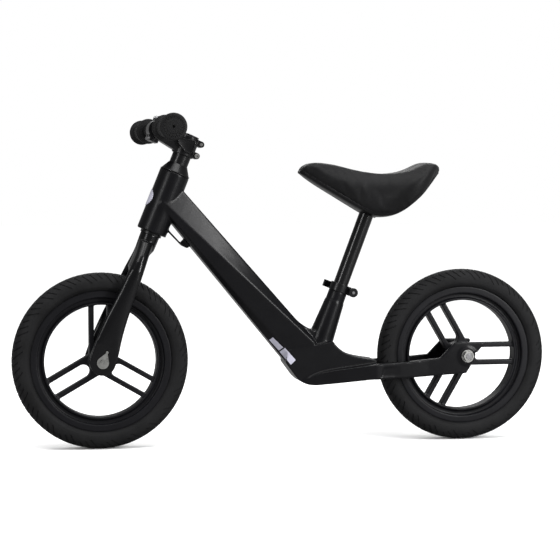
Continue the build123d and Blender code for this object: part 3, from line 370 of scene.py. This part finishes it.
def skin_material(name, colour, cells, strength, gloss, dull):
    """Grained soft skin of the saddle, or rubber of the grips."""
    material, shader, mapping = start_material(name)
    grain = place_group(material, hide_group(), mapping, Cell_Scale=cells, Crease=0.1)
    cloud = place_group(material, paint_group(), mapping, Cloud_Scale=18.0, Gloss=gloss, Dull=dull)
    links = material.node_tree.links
    tint = blend_colours(
        material, cloud.outputs["Mask"], lighter(colour, 0.75), lighter(colour, 1.45))
    links.new(tint, shader.inputs["Base Color"])
    links.new(cloud.outputs["Roughness"], shader.inputs["Roughness"])
    shader.inputs["Specular IOR Level"].default_value = 0.10
    shader.inputs["Sheen Weight"].default_value = 0.02
    shader.inputs["Sheen Roughness"].default_value = 0.45
    add_bump(material, shader, grain.outputs["Height"], strength, 0.00025)
    return material


def finish(name):
    """The named finish, made the first time it is asked for."""
    known = bpy.data.materials.get(name)
    if known:
        return known
    shade = colours()
    makers = {
        "Satin Frame Paint": lambda: coated(name, shade.frame_paint, 0.24, 0.38, 800.0, 0.12, 0.10),
        "Fork Paint": lambda: coated(name, shade.fork_paint, 0.16, 0.28, 500.0, 0.08, 0.14),
        "Wheel Plastic": lambda: coated(name, shade.wheel_plastic, 0.34, 0.5, 900.0, 0.18, 0.10),
        "Tyre Foam": lambda: foam_material(name, shade.tyre_foam),
        "Grip Rubber": lambda: skin_material(
            name, lighter(shade.tyre_foam, 0.8), 1300.0, 0.3, 0.42, 0.6),
        "Saddle Skin": lambda: skin_material(name, shade.saddle_skin, 620.0, 0.3, 0.42, 0.58),
        "Saddle Base Plastic": lambda: coated(name, shade.fork_paint, 0.3, 0.45, 900.0, 0.2, 0.12),
        "Black Anodised Alloy": lambda: coated(
            name, shade.fork_paint, 0.22, 0.36, 1200.0, 0.12, 0.18),
        "Black Gloss Tube": lambda: coated(name, shade.fork_paint, 0.16, 0.26, 600.0, 0.02, 0.25),
        "Plain Steel": lambda: metal(name, (0.22, 0.22, 0.225), 0.22, 0.42, 1200.0),
        "Zinc Plated Steel": lambda: metal(name, (0.30, 0.30, 0.29), 0.2, 0.38, 700.0, 0.3),
        "Badge Print": lambda: coated(name, shade.badge, 0.3, 0.42, 1500.0, 0.06, 0.5),
    }
    return makers[name]()


SLOT_FINISH = {
    "frame_paint": "Satin Frame Paint",
    "fork_paint": "Fork Paint",
    "wheel_casting": "Wheel Plastic",
    "foam_tyre": "Tyre Foam",
    "grip_rubber": "Grip Rubber",
    "saddle_skin": "Saddle Skin",
    "saddle_plastic": "Saddle Base Plastic",
    "black_alloy": "Black Anodised Alloy",
    "black_steel": "Black Gloss Tube",
    "plain_steel": "Plain Steel",
    "zinc_steel": "Zinc Plated Steel",
    "badge_print": "Badge Print",
}


# ---------------------------------------------------------------- mesh helpers

def centre(node):
    """Middle of a CAD node's box."""
    low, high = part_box(node)
    return (low + high) / 2


def make_piece(name, bm, body, slot_name, replaced=(), crisp=math.radians(38)):
    """Object for a finished mesh, with its finish and its body; hides the CAD nodes it stands for.
    """
    mesh = bpy.data.meshes.new(name)
    bm.to_mesh(mesh)
    bm.free()
    mesh.shade_smooth()
    if crisp:
        mesh.set_sharp_from_angle(angle=crisp)
    piece = bpy.data.objects.new(name, mesh)
    bpy.context.scene.collection.objects.link(piece)
    mesh.materials.clear()
    mesh.materials.append(finish(SLOT_FINISH[slot_name]))
    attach(piece, body)
    if replaced:
        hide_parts(*replaced)
    return piece


def joined_copy(node):
    """A CAD node's mesh with its loose triangles merged."""
    bm = bmesh.new()
    bm.from_mesh(frame["nodes"][node].data)
    bmesh.ops.remove_doubles(bm, verts=bm.verts, dist=MERGE_DISTANCE)
    return bm


def scratch_object(bm, name="scratch"):
    """Plain object for a mesh that is still being worked on."""
    mesh = bpy.data.meshes.new(name)
    bm.to_mesh(mesh)
    bm.free()
    held = bpy.data.objects.new(name, mesh)
    bpy.context.scene.collection.objects.link(held)
    return held


def settle(held):
    """Applies an object's modifiers and gives the result as a bmesh, then removes it."""
    depsgraph = bpy.context.evaluated_depsgraph_get()
    mesh = bpy.data.meshes.new_from_object(held.evaluated_get(depsgraph))
    bm = bmesh.new()
    bm.from_mesh(mesh)
    bpy.data.meshes.remove(mesh)
    bpy.data.objects.remove(held)
    return bm


def soften(bm, voxel, passes, cutters=()):
    """Rounds the edges of a solid: cuts it, rebuilds it in small cells and smooths it."""
    held = scratch_object(bm)
    for cutter in cutters:
        cut = held.modifiers.new("Cut", "BOOLEAN")
        cut.object = cutter
        cut.operation = "DIFFERENCE"
        cut.solver = "EXACT"
    cells = held.modifiers.new("Cells", "REMESH")
    cells.mode = "VOXEL"
    cells.voxel_size = voxel
    cells.adaptivity = 0.0
    smooth = held.modifiers.new("Smooth", "SMOOTH")
    smooth.factor = 0.5
    smooth.iterations = passes
    result = settle(held)
    for cutter in cutters:
        bpy.data.objects.remove(cutter)
    return result


def slab(corners, near, far):
    """Prism over an outline in X and Z, from Y near to Y far."""
    bm = bmesh.new()
    verts = [bm.verts.new((x * MM, near * MM, z * MM)) for x, z in corners]
    face = bm.faces.new(verts)
    grown = bmesh.ops.extrude_face_region(bm, geom=[face])
    moved = [g for g in grown["geom"] if isinstance(g, bmesh.types.BMVert)]
    bmesh.ops.translate(bm, verts=moved, vec=(0, (far - near) * MM, 0))
    bmesh.ops.recalc_face_normals(bm, faces=bm.faces)
    return bm


def spun(profile, steps, place):
    """Closed ring from a profile of (radius, Y) points, turned about Y and put at place."""
    bm = bmesh.new()
    verts = [bm.verts.new((radius * MM, 0, 0)) for radius, _ in profile]
    for vert, (_, y) in zip(verts, profile):
        vert.co.y = y * MM
    pairs = list(zip(verts, verts[1:]))
    closed = profile[0][0] > 0 and profile[-1][0] > 0
    if closed:
        pairs.append((verts[-1], verts[0]))
    edges = [bm.edges.new(pair) for pair in pairs]
    bmesh.ops.spin(
        bm, geom=verts + edges, cent=(0, 0, 0), axis=(0, 1, 0), dvec=(0, 0, 0),
        angle=2 * math.pi, steps=steps, use_merge=True, use_duplicate=False)
    bmesh.ops.remove_doubles(bm, verts=bm.verts, dist=1e-6)
    bmesh.ops.recalc_face_normals(bm, faces=bm.faces)
    bmesh.ops.translate(bm, verts=bm.verts, vec=place)
    return bm


def steering_place(ahead, above):
    """Point in the centre plane, ahead of the steering axis and up it, in millimetres."""
    hub = centre("front_axle")
    lead = Vector((math.sin(HEAD_ANGLE), 0, math.cos(HEAD_ANGLE)))
    up = Vector((-math.cos(HEAD_ANGLE), 0, math.sin(HEAD_ANGLE)))
    return Vector((hub.x, 0, hub.z)) + ahead * MM * lead + above * MM * up


def around(point, place):
    """Angle of a point about an axle along Y."""
    return math.atan2(point.z - place.z, point.x - place.x) % (2 * math.pi)


# ---------------------------------------------------------------- pieces

class BIKE_OT_carried(bpy.types.Operator):
    """Gives every part of the engineering model its own finish"""
    bl_idname = "bike.carried"
    bl_label = "Finish the Carried Parts"

    def execute(self, context):
        for row in frame["record"]["subparts"]:
            part = frame["nodes"][row["node"]]
            part.data.materials.clear()
            part.data.materials.append(finish(SLOT_FINISH[row["material_slot"]]))
        return {"FINISHED"}


class BIKE_OT_casting(bpy.types.Operator):
    """Cast frame with its soft edges and the shallow recess along each arm"""
    bl_idname = "bike.casting"
    bl_label = "Cast Frame"

    recess = [(-166, 133.2), (-263, 137.0), (-255, 121.0), (-161, 116.6)]
    arm_half_width = 50.0
    recess_depth = 2.8

    def execute(self, context):
        floor = self.arm_half_width - self.recess_depth
        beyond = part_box("frame")[1].y / MM + 10
        cutters = [
            scratch_object(slab(self.recess, floor, beyond), "arm_recess_left"),
            scratch_object(slab(self.recess, -beyond, -floor), "arm_recess_right"),
        ]
        bm = soften(joined_copy("frame"), sizes().casting_voxel, 5, cutters)
        make_piece("frame_casting", bm, "frame", "frame_paint", ["frame"], crisp=None)
        return {"FINISHED"}


# Sections of the fork: height, rear, front, inner side, outer side, squareness.
LEG_SECTIONS = [
    (26, -19.6, 24.3, 33.0, 46.0, 5.0), (42, -17.0, 24.5, 33.0, 46.0, 3.4),
    (57, -15.0, 23.9, 33.0, 46.0, 2.7), (70, -13.7, 23.2, 33.0, 46.0, 2.4),
    (84, -12.6, 22.2, 33.0, 46.0, 2.2), (100, -11.6, 20.5, 33.0, 46.0, 2.1),
    (118, -10.8, 18.7, 33.0, 46.0, 2.0), (134, -10.1, 17.7, 32.5, 46.0, 2.0),
    (150, -9.6, 17.0, 31.5, 46.0, 2.0), (164, -9.2, 16.0, 26.0, 45.2, 2.0),
    (178, -9.0, 15.0, 17.0, 42.4, 2.0), (191, -9.0, 14.2, 7.0, 37.0, 2.0),
    (204, -9.8, 14.6, -4.0, 29.5, 2.0), (216, -11.0, 15.4, -10.0, 22.5, 2.0),
]
NECK_SECTIONS = [
    (158, -6.0, 11.0, -24.0, 24.0, 2.0), (168, -9.0, 15.6, -30.0, 30.0, 2.2),
    (180, -9.0, 14.8, -30.0, 30.0, 2.2), (192, -9.6, 14.3, -26.0, 26.0, 2.1),
    (200, -13.0, 15.6, -22.0, 22.0, 2.0), (206, -15.7, 16.4, -19.5, 19.5, 2.0),
    (218, -16.1, 16.8, -18.5, 18.5, 2.0), (231, -16.3, 17.2, -18.2, 18.2, 2.0),
]


class BIKE_OT_fork(bpy.types.Operator):
    """Fork with oval legs that bend in to a slim neck"""
    bl_idname = "bike.fork"
    bl_label = "Fork"

    segments = 32
    dropout_top = 32.0

    def execute(self, context):
        bm = joined_copy("fork")
        up = (steering_place(0, 1) - steering_place(0, 0)).normalized()
        geometry = [*bm.verts, *bm.edges, *bm.faces]
        bmesh.ops.bisect_plane(
            bm, geom=geometry, plane_co=steering_place(0, self.dropout_top), plane_no=up,
            clear_outer=True)
        bmesh.ops.holes_fill(bm, edges=[e for e in bm.edges if e.is_boundary], sides=0)
        for sign in (1, -1):
            self.loft(bm, LEG_SECTIONS, sign)
        self.loft(bm, NECK_SECTIONS, 1)
        bmesh.ops.recalc_face_normals(bm, faces=bm.faces)
        bm = soften(bm, sizes().fork_voxel, 9)
        make_piece("fork_body", bm, "steering", "fork_paint", ["fork"], crisp=None)
        return {"FINISHED"}

    def loft(self, bm, sections, sign):
        """Closed solid through oval sections that lie across the steering axis."""
        rings = []
        for section in sections:
            ring = bmesh.ops.create_circle(bm, segments=self.segments, radius=1.0)["verts"]
            for vert in ring:
                vert.co = self.place_on(section, vert.co, sign)
            rings.append({e for v in ring for e in v.link_edges})
        for lower, upper in zip(rings, rings[1:]):
            bmesh.ops.bridge_loops(bm, edges=[*lower, *upper])
        bmesh.ops.holes_fill(bm, edges=[e for e in rings[0] | rings[-1] if e.is_boundary], sides=0)

    def place_on(self, section, point, sign):
        """Point of a unit circle moved on to a section."""
        height, rear, front, inner, outer, square = section
        ahead, out = (math.copysign(abs(c) ** (2 / square), c) for c in (point.x, point.y))
        place = steering_place((front + rear) / 2 + ahead * (front - rear) / 2, height)
        place.y = sign * ((inner + outer) / 2 + out * (outer - inner) / 2) * MM
        return place


class BIKE_OT_wheels(bpy.types.Operator):
    """Moulded wheels with filleted spokes"""
    bl_idname = "bike.wheels"
    bl_label = "Wheels"

    def execute(self, context):
        for end in ("front", "rear"):
            bm = soften(joined_copy(end + "_rim"), sizes().wheel_voxel, 4)
            make_piece(end + "_wheel_moulding", bm, end + "_wheel", "wheel_casting",
                       [end + "_rim"], crisp=None)
        return {"FINISHED"}


# Radius and distance from the middle plane, from the tyre's seat round to its crown.
TYRE_HALF_PROFILE = [
    (119.7, 0.0), (119.7, 9.0), (119.7, 17.4), (120.9, 19.6), (122.6, 21.4), (124.0, 22.0),
    (124.9, 22.9), (127.0, 23.5), (130.0, 23.9), (133.5, 24.0), (137.0, 23.6), (140.0, 22.6),
    (142.6, 21.0), (144.7, 18.6), (146.4, 15.6), (147.7, 12.4), (148.7, 9.2), (149.4, 6.2),
    (149.8, 3.2), (150.0, 0.0),
]


class BIKE_OT_tyres(bpy.types.Operator):
    """Foam tyres with slanted cuts on both shoulders and a row of cuts down the crown"""
    bl_idname = "bike.tyres"
    bl_label = "Tyres"

    columns_per_cut = 4

    def execute(self, context):
        for end in ("front", "rear"):
            self.tyre(end)
        return {"FINISHED"}

    def tyre(self, end):
        place = centre(end + "_tyre")
        half = TYRE_HALF_PROFILE
        profile = [(r, -y) for r, y in reversed(half)] + half[1:-1]
        columns = sizes().tread_pitch * self.columns_per_cut
        bm = spun(profile, columns, place)
        step = 2 * math.pi / columns
        shoulder, crown = [], []
        for face in bm.faces:
            middle = face.calc_center_median()
            column = int(around(middle, place) / step)
            radius = math.hypot(middle.x - place.x, middle.z - place.z) / MM
            side = abs(middle.y - place.y) / MM
            phase = column % self.columns_per_cut
            long_cut = (column // self.columns_per_cut) % 3
            low = (136.0, 140.0, 132.5)[long_cut]
            if phase == 0 and low < radius < 147.9:
                shoulder.append(face)
            if phase == 2 and side < 6.0 and radius > 149.0:
                crown.append(face)
        for vert in bm.verts:
            offset = vert.co - place
            radius = math.hypot(offset.x, offset.z)
            lean = 0.16 * max(0.0, radius - 0.128) / 0.022
            turn = Matrix.Rotation(lean, 3, "Y")
            vert.co = place + turn @ offset
        for faces, wall in ((shoulder, 0.35 * MM), (crown, 0.3 * MM)):
            bmesh.ops.inset_region(
                bm, faces=faces, thickness=wall, depth=-sizes().sipe_depth,
                use_even_offset=True, use_boundary=True)
        make_piece(end + "_foam_tyre", bm, end + "_wheel", "foam_tyre", [end + "_tyre"])


class BIKE_OT_grips(bpy.types.Operator):
    """Ribbed rubber grips with a flange at each end and a dotted end cap"""
    bl_idname = "bike.grips"
    bl_label = "Grips"

    steps = 96

    def execute(self, context):
        for side, sign in (("left", 1), ("right", -1)):
            self.grip(side, sign)
        return {"FINISHED"}

    def profile(self, length):
        """(Radius, distance) from the inner flange's bore to the outer end's middle."""
        points = [(11.2, 0.0), (20.6, 0.0), (21.6, 0.5), (22.0, 1.5), (22.0, 3.6), (21.5, 4.6),
                  (18.0, 5.4), (16.2, 7.0), (15.6, 9.5)]
        pitch = sizes().grip_rib_pitch / MM
        y = 11.5
        while y + pitch < length - 12.0:
            points += [(15.2, y), (15.2, y + 0.55 * pitch), (14.3, y + 0.68 * pitch),
                       (14.3, y + 0.88 * pitch)]
            y += pitch
        points += [(15.2, length - 10.5), (16.0, length - 8.2), (18.2, length - 6.2),
                   (21.5, length - 5.4), (22.0, length - 4.4), (22.0, length - 1.4),
                   (21.4, length - 0.5), (20.6, length), (17.4, length), (15.4, length),
                   (13.4, length), (11.6, length), (11.0, length + 0.5), (6.0, length + 0.5),
                   (2.6, length + 0.5), (2.2, length + 0.1), (2.0, length - 3.0),
                   (0.0, length - 3.0)]
        return points

    def grip(self, side, sign):
        low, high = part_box(side + "_grip")
        place = (low + high) / 2
        length = (high.y - low.y) / MM - 0.6
        inner = low.y if sign > 0 else high.y
        place.y = 0.0
        bm = spun(self.profile(length), self.steps, Vector((place.x, 0, place.z)))
        step = 2 * math.pi / self.steps
        dots = []
        for face in bm.faces:
            middle = face.calc_center_median()
            radius = math.hypot(middle.x - place.x, middle.z - place.z) / MM
            column = int(around(middle, place) / step)
            at_end = middle.y / MM > length - 0.2
            if at_end and 15.6 < radius < 17.2 and column % 3 == 0:
                dots.append(face)
            if at_end and 13.6 < radius < 15.2 and column % 3 == 1 and column % 2:
                dots.append(face)
        bmesh.ops.inset_individual(bm, faces=dots, thickness=0.2 * MM, depth=-0.9 * MM,
                                   use_even_offset=True)
        if sign < 0:
            bmesh.ops.scale(bm, verts=bm.verts, vec=(1, -1, 1))
            bmesh.ops.reverse_faces(bm, faces=bm.faces)
        bmesh.ops.translate(bm, verts=bm.verts, vec=(0, inner, 0))
        make_piece(side + "_rubber_grip", bm, "steering", "grip_rubber", [side + "_grip"])


class BIKE_OT_stem(bpy.types.Operator):
    """Cast stem with soft edges and a plain raised shield on each side"""
    bl_idname = "bike.stem"
    bl_label = "Stem"

    raised = 2.2

    def execute(self, context):
        bm = soften(joined_copy("stem"), sizes().small_voxel, 5)
        make_piece("stem_body", bm, "steering", "black_alloy", ["stem"], crisp=None)
        half = STEM_SIDE_HALF
        corners = [steering_place(ahead, above) for ahead, above in SHIELD_OUTLINE]
        outline = [(point.x / MM, point.z / MM) for point in corners]
        for name, sign in (("stem_shield_left", 1), ("stem_shield_right", -1)):
            bm = slab(outline, sign * (half - 8.0), sign * (half + self.raised))
            top = (half + self.raised - 0.1) * MM
            outer = [f for f in bm.faces if abs(f.calc_center_median().y) > top]
            bmesh.ops.inset_region(
                bm, faces=outer, thickness=1.5 * MM, depth=0, use_even_offset=True)
            bmesh.ops.inset_region(bm, faces=outer, thickness=0.5 * MM, depth=-1.3 * MM,
                                   use_even_offset=True)
            rim = [e for e in bm.edges if e.calc_length() > 0 and not e.is_boundary
                   and e.calc_face_angle(0) > 0.5]
            bmesh.ops.bevel(bm, geom=rim, offset=0.3 * MM, offset_type="OFFSET", segments=2,
                            profile=0.5, affect="EDGES", material=-1)
            make_piece(name, bm, "steering", "black_alloy")
        return {"FINISHED"}


class BIKE_OT_clamp(bpy.types.Operator):
    """Seat clamp ring, its lever and its adjuster, with soft edges"""
    bl_idname = "bike.clamp"
    bl_label = "Seat Clamp"

    voxel = 0.5 * MM

    def execute(self, context):
        for node, name, body in (
                ("seat_clamp_ring", "clamp_ring", "frame"),
                ("seat_clamp_lever", "clamp_lever_handle", "clamp_lever"),
                ("seat_clamp_adjuster", "clamp_adjuster_nut", "clamp_adjuster")):
            bm = soften(joined_copy(node), self.voxel, 3)
            make_piece(name, bm, body, "black_alloy", [node], crisp=None)
        return {"FINISHED"}


class SaddleForm:
    """Rounds the flat-sided saddle: its crown falls to the sides and its skirt tucks in."""

    def __init__(self):
        low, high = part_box("saddle_pad")
        self.start, self.end = low.x, high.x
        self.bins = 60
        self.half = [0.0] * self.bins
        self.floor = [high.z] * self.bins
        self.roof = [low.z] * self.bins
        bm = joined_copy("saddle_pad")
        held = scratch_object(bm)
        cells = held.modifiers.new("Cells", "REMESH")
        cells.mode = "VOXEL"
        cells.voxel_size = 3.0 * MM
        dense = settle(held)
        for vert in dense.verts:
            index = self.index(vert.co.x)
            self.half[index] = max(self.half[index], abs(vert.co.y))
            self.roof[index] = max(self.roof[index], vert.co.z)
        for vert in dense.verts:
            index = self.index(vert.co.x)
            if abs(vert.co.y) > 0.55 * self.half[index]:
                self.floor[index] = min(self.floor[index], vert.co.z)
        dense.free()

    def index(self, x):
        share = (x - self.start) / (self.end - self.start)
        return min(self.bins - 1, max(0, int(share * self.bins)))

    def look_up(self, values, x):
        """Value between the middles of the two nearest bins."""
        share = (x - self.start) / (self.end - self.start) * self.bins - 0.5
        share = min(self.bins - 1.001, max(0.0, share))
        index = int(share)
        part = share - index
        return values[index] * (1 - part) + values[index + 1] * part

    def level(self, point):
        """Height of a point within the pad, from 0 to 1, and how far out it is."""
        half = max(self.look_up(self.half, point.x), 6 * MM)
        low = self.look_up(self.floor, point.x)
        high = max(self.look_up(self.roof, point.x), low + 4 * MM)
        return (point.z - low) / (high - low), min(1.0, abs(point.y) / half)

    def shape(self, point):
        """New place of a point of the flat-sided saddle."""
        low = self.look_up(self.floor, point.x)
        high = max(self.look_up(self.roof, point.x), low + 4 * MM)
        level, out = self.level(point)
        drop = 1.0 - math.sqrt(max(0.0, 1.0 - 0.9 * out ** 4.5))
        reach = min(point.x - self.start, self.end - point.x)
        drop *= min(1.0, max(0.0, reach / (40 * MM)))
        z = point.z
        if level > 0:
            z -= drop * level * (high - low) * 0.5
        lift = 4 * MM * out ** 4 * max(0.0, 1.0 - max(level, 0.0))
        tuck = 1.0 - 0.10 * max(0.0, 1.0 - level) ** 1.5 * out
        return Vector((point.x, point.y * min(tuck, 1.0), z + lift))


class BIKE_OT_saddle(bpy.types.Operator):
    """Padded saddle: a crowned skin plumped over a thin plastic shell"""
    bl_idname = "bike.saddle"
    bl_label = "Saddle"

    cloth_frames = 20

    def execute(self, context):
        form = SaddleForm()
        self.shell(form)
        self.pad(form)
        return {"FINISHED"}

    def shell(self, form):
        """Plastic shell under the pad, with the socket for the post."""
        bm = soften(joined_copy("saddle_base"), 1.2 * MM, 2)
        low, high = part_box("saddle_base")
        middle = (low.x + high.x) / 2
        for vert in bm.verts:
            vert.co = form.shape(vert.co)
            vert.co.x = middle + (vert.co.x - middle) * 0.985
            vert.co.y *= 0.955
        make_piece("saddle_shell", bm, "seat", "saddle_plastic", ["saddle_base"], crisp=None)

    def pad(self, form):
        """Skin of the pad, blown up a little so that its faces are full."""
        bm = joined_copy("saddle_pad")
        bm = soften(bm, sizes().saddle_voxel, 2)
        for vert in bm.verts:
            level, out = form.level(vert.co)
            vert.co = form.shape(vert.co)
            if level < 0.2 and out > 0.7:
                vert.co.z -= 3.5 * MM * (0.2 - max(level, 0.0)) / 0.2 * min(1.0, (out - 0.7) / 0.15)
        bmesh.ops.smooth_vert(bm, verts=bm.verts, factor=0.5, use_axis_x=True,
                              use_axis_y=True, use_axis_z=True)
        held = scratch_object(bm, "pad_form")
        start = [vert.co.copy() for vert in held.data.vertices]
        self.plump(held, start)
        smooth = held.modifiers.new("Relax", "SMOOTH")
        smooth.factor = 0.5
        smooth.iterations = 3
        finer = held.modifiers.new("Finer", "SUBSURF")
        finer.levels = 2
        finer.render_levels = 2
        pad = make_piece("saddle_cushion", settle(held), "seat", "saddle_skin", ["saddle_pad"],
                         crisp=None)

    def plump(self, held, start):
        """Inflates the skin with a short cloth run and limits how far it moves."""
        scene = bpy.context.scene
        cloth = held.modifiers.new("Air", "CLOTH")
        cloth.settings.use_pressure = True
        cloth.settings.uniform_pressure_force = sizes().saddle_pressure
        cloth.settings.effector_weights.gravity = 0.0
        cloth.point_cache.frame_start = 1
        cloth.point_cache.frame_end = self.cloth_frames
        for step in range(1, self.cloth_frames + 1):
            scene.frame_set(step)
        depsgraph = bpy.context.evaluated_depsgraph_get()
        blown = held.evaluated_get(depsgraph).data
        limit = sizes().saddle_swell
        moved = []
        for vert, rest in zip(blown.vertices, start):
            travel = vert.co - rest
            if travel.length > limit:
                travel *= limit / travel.length
            moved.append(rest + travel)
        held.modifiers.clear()
        for vert, place in zip(held.data.vertices, moved):
            vert.co = place
        scene.frame_set(1)


class BIKE_OT_label(bpy.types.Operator):
    """Blank pale label low on each side of the beam"""
    bl_idname = "bike.label"
    bl_label = "Label"

    start = 60.0
    stand_off = 0.35 * MM
    film = 0.4 * MM
    upper = [(23.4, 186.3), (5.9, 168.8), (12.0, 163.2), (28.6, 181.6)]
    lower = [(2.6, 168.0), (-15.8, 147.0), (-7.2, 138.9), (10.6, 161.2)]

    def execute(self, context):
        casting = bpy.data.objects["frame_casting"]
        for part, outline in (("upper", self.upper), ("lower", self.lower)):
            for side, sign in (("left", 1), ("right", -1)):
                bm = bmesh.new()
                verts = [bm.verts.new((x * MM, sign * self.start * MM, z * MM)) for x, z in outline]
                bm.faces.new(verts)
                bmesh.ops.subdivide_edges(bm, edges=bm.edges, cuts=14, use_grid_fill=True)
                held = scratch_object(bm)
                wrap = held.modifiers.new("On the Beam", "SHRINKWRAP")
                wrap.target = casting
                wrap.wrap_method = "PROJECT"
                wrap.use_project_y = True
                wrap.use_negative_direction = True
                wrap.use_positive_direction = True
                wrap.offset = self.stand_off
                thick = held.modifiers.new("Film", "SOLIDIFY")
                thick.thickness = self.film
                thick.offset = 0.0
                bm = settle(held)
                bmesh.ops.recalc_face_normals(bm, faces=bm.faces)
                make_piece("beam_label_" + part + "_" + side, bm, "frame", "badge_print")
        return {"FINISHED"}


class BIKE_OT_stage(bpy.types.Operator):
    """Pale floor, soft studio light and the camera"""
    bl_idname = "bike.stage"
    bl_label = "Stage"

    def execute(self, context):
        scene = context.scene
        bm = bmesh.new()
        bmesh.ops.create_grid(bm, x_segments=8, y_segments=8, size=14.0)
        floor = scratch_object(bm, "studio_floor")
        material, shader, mapping = start_material("Pale Floor")
        node = place_group(material, paint_group(), mapping, Cloud_Scale=0.6, Gloss=0.75, Dull=0.9)
        shade = tuple(colours().floor)
        tint = blend_colours(material, node.outputs["Mask"], lighter(shade, 0.995), shade)
        seen = material.node_tree.nodes.new("ShaderNodeLightPath")
        dimmed = material.node_tree.nodes.new("ShaderNodeMix")
        dimmed.data_type = "RGBA"
        dimmed.inputs[6].default_value = (*lighter(shade, colours().floor_bounce), 1.0)
        material.node_tree.links.new(tint, dimmed.inputs[7])
        material.node_tree.links.new(dimmed.outputs[2], shader.inputs["Base Color"])
        material.node_tree.links.new(seen.outputs["Is Camera Ray"], dimmed.inputs[0])
        material.node_tree.links.new(node.outputs["Roughness"], shader.inputs["Roughness"])
        shader.inputs["Specular IOR Level"].default_value = 0.1
        floor.data.materials.append(material)
        scene.world = self.studio_world()
        scene.view_settings.view_transform = "Standard"
        self.sky_light()
        self.softbox("overhead", (0.1, 0.9, 2.2), (0, 0, 0.3), (2.4, 0.5), 34.0)
        self.softbox("front_strip", (1.9, 1.5, 0.9), (0.1, 0, 0.3), (0.22, 1.5), 30.0)
        self.softbox("rear_strip", (-1.5, 1.9, 1.0), (0, 0, 0.3), (0.22, 1.5), 90.0)
        self.softbox("far_strip", (-0.6, -2.2, 1.2), (0, 0, 0.3), (1.6, 0.4), 8.0)
        self.camera(scene)
        return {"FINISHED"}

    def studio_world(self):
        """White surroundings that light the bike less than they show."""
        world = bpy.data.worlds.new("Studio")
        world.use_nodes = True
        nodes, links = world.node_tree.nodes, world.node_tree.links
        nodes.clear()
        out = nodes.new("ShaderNodeOutputWorld")
        mix = nodes.new("ShaderNodeMixShader")
        seen = nodes.new("ShaderNodeLightPath")
        for slot_index, strength in ((1, 0.30), (2, 1.0)):
            background = nodes.new("ShaderNodeBackground")
            background.inputs["Color"].default_value = (1, 1, 1, 1)
            background.inputs["Strength"].default_value = strength
            links.new(background.outputs["Background"], mix.inputs[slot_index])
        links.new(seen.outputs["Is Camera Ray"], mix.inputs["Fac"])
        links.new(mix.outputs["Shader"], out.inputs["Surface"])
        return world

    def sky_light(self):
        """Very soft light from above that keeps the whole floor pale."""
        data = bpy.data.lights.new("ceiling", "SUN")
        data.energy = 2.75
        data.angle = math.radians(70)
        light = bpy.data.objects.new("ceiling", data)
        bpy.context.scene.collection.objects.link(light)

    def softbox(self, name, place, target, size, power):
        """Rectangular light that faces the target."""
        data = bpy.data.lights.new(name, "AREA")
        data.shape = "RECTANGLE"
        data.size, data.size_y = size
        data.energy = power
        light = bpy.data.objects.new(name, data)
        bpy.context.scene.collection.objects.link(light)
        light.location = place
        aim = Vector(target) - Vector(place)
        light.rotation_euler = aim.to_track_quat("-Z", "Y").to_euler()

    def camera(self, scene):
        """Camera on the rider's left, a little above hub height and ahead of the middle."""
        place = Vector((0.6168, 3.1114, 0.4625))
        target = Vector((0.0064, 0.0, 0.2836))
        data = bpy.data.cameras.new("camera")
        data.sensor_width = 36.0
        data.lens = 118.15
        camera = bpy.data.objects.new("camera", data)
        scene.collection.objects.link(camera)
        camera.location = place
        camera.rotation_euler = (target - place).to_track_quat("-Z", "Y").to_euler()
        scene.camera = camera


class BIKE_PT_panel(bpy.types.Panel):
    """Sizes, colours and the steps that make the bike"""
    bl_idname = "BIKE_PT_panel"
    bl_label = "Balance Bike"
    bl_space_type = "VIEW_3D"
    bl_region_type = "UI"
    bl_category = "Balance Bike"

    def draw(self, context):
        for group in (context.scene.bike_sizes, context.scene.bike_colours):
            column = self.layout.column()
            for name in group.__annotations__:
                column.prop(group, name)
        for step in STEPS:
            self.layout.operator(step.bl_idname)


STEPS = (
    BIKE_OT_stage,
    BIKE_OT_carried,
    BIKE_OT_casting,
    BIKE_OT_fork,
    BIKE_OT_wheels,
    BIKE_OT_tyres,
    BIKE_OT_grips,
    BIKE_OT_stem,
    BIKE_OT_clamp,
    BIKE_OT_saddle,
    BIKE_OT_label,
)
CLASSES = (BikeSizes, BikeColours, *STEPS, BIKE_PT_panel)


def register():
    """Adds the settings, the steps and the panel."""
    for item in CLASSES:
        bpy.utils.register_class(item)
    bpy.types.Scene.bike_sizes = bpy.props.PointerProperty(type=BikeSizes)
    bpy.types.Scene.bike_colours = bpy.props.PointerProperty(type=BikeColours)


def unregister():
    """Takes the settings, the steps and the panel away."""
    del bpy.types.Scene.bike_colours
    del bpy.types.Scene.bike_sizes
    for item in reversed(CLASSES):
        bpy.utils.unregister_class(item)


def main():
    """Makes the whole bike and its stage."""
    register()
    for step in STEPS:
        group, name = step.bl_idname.split(".")
        getattr(getattr(bpy.ops, group), name)()


if __name__ == "__main__":
    main()
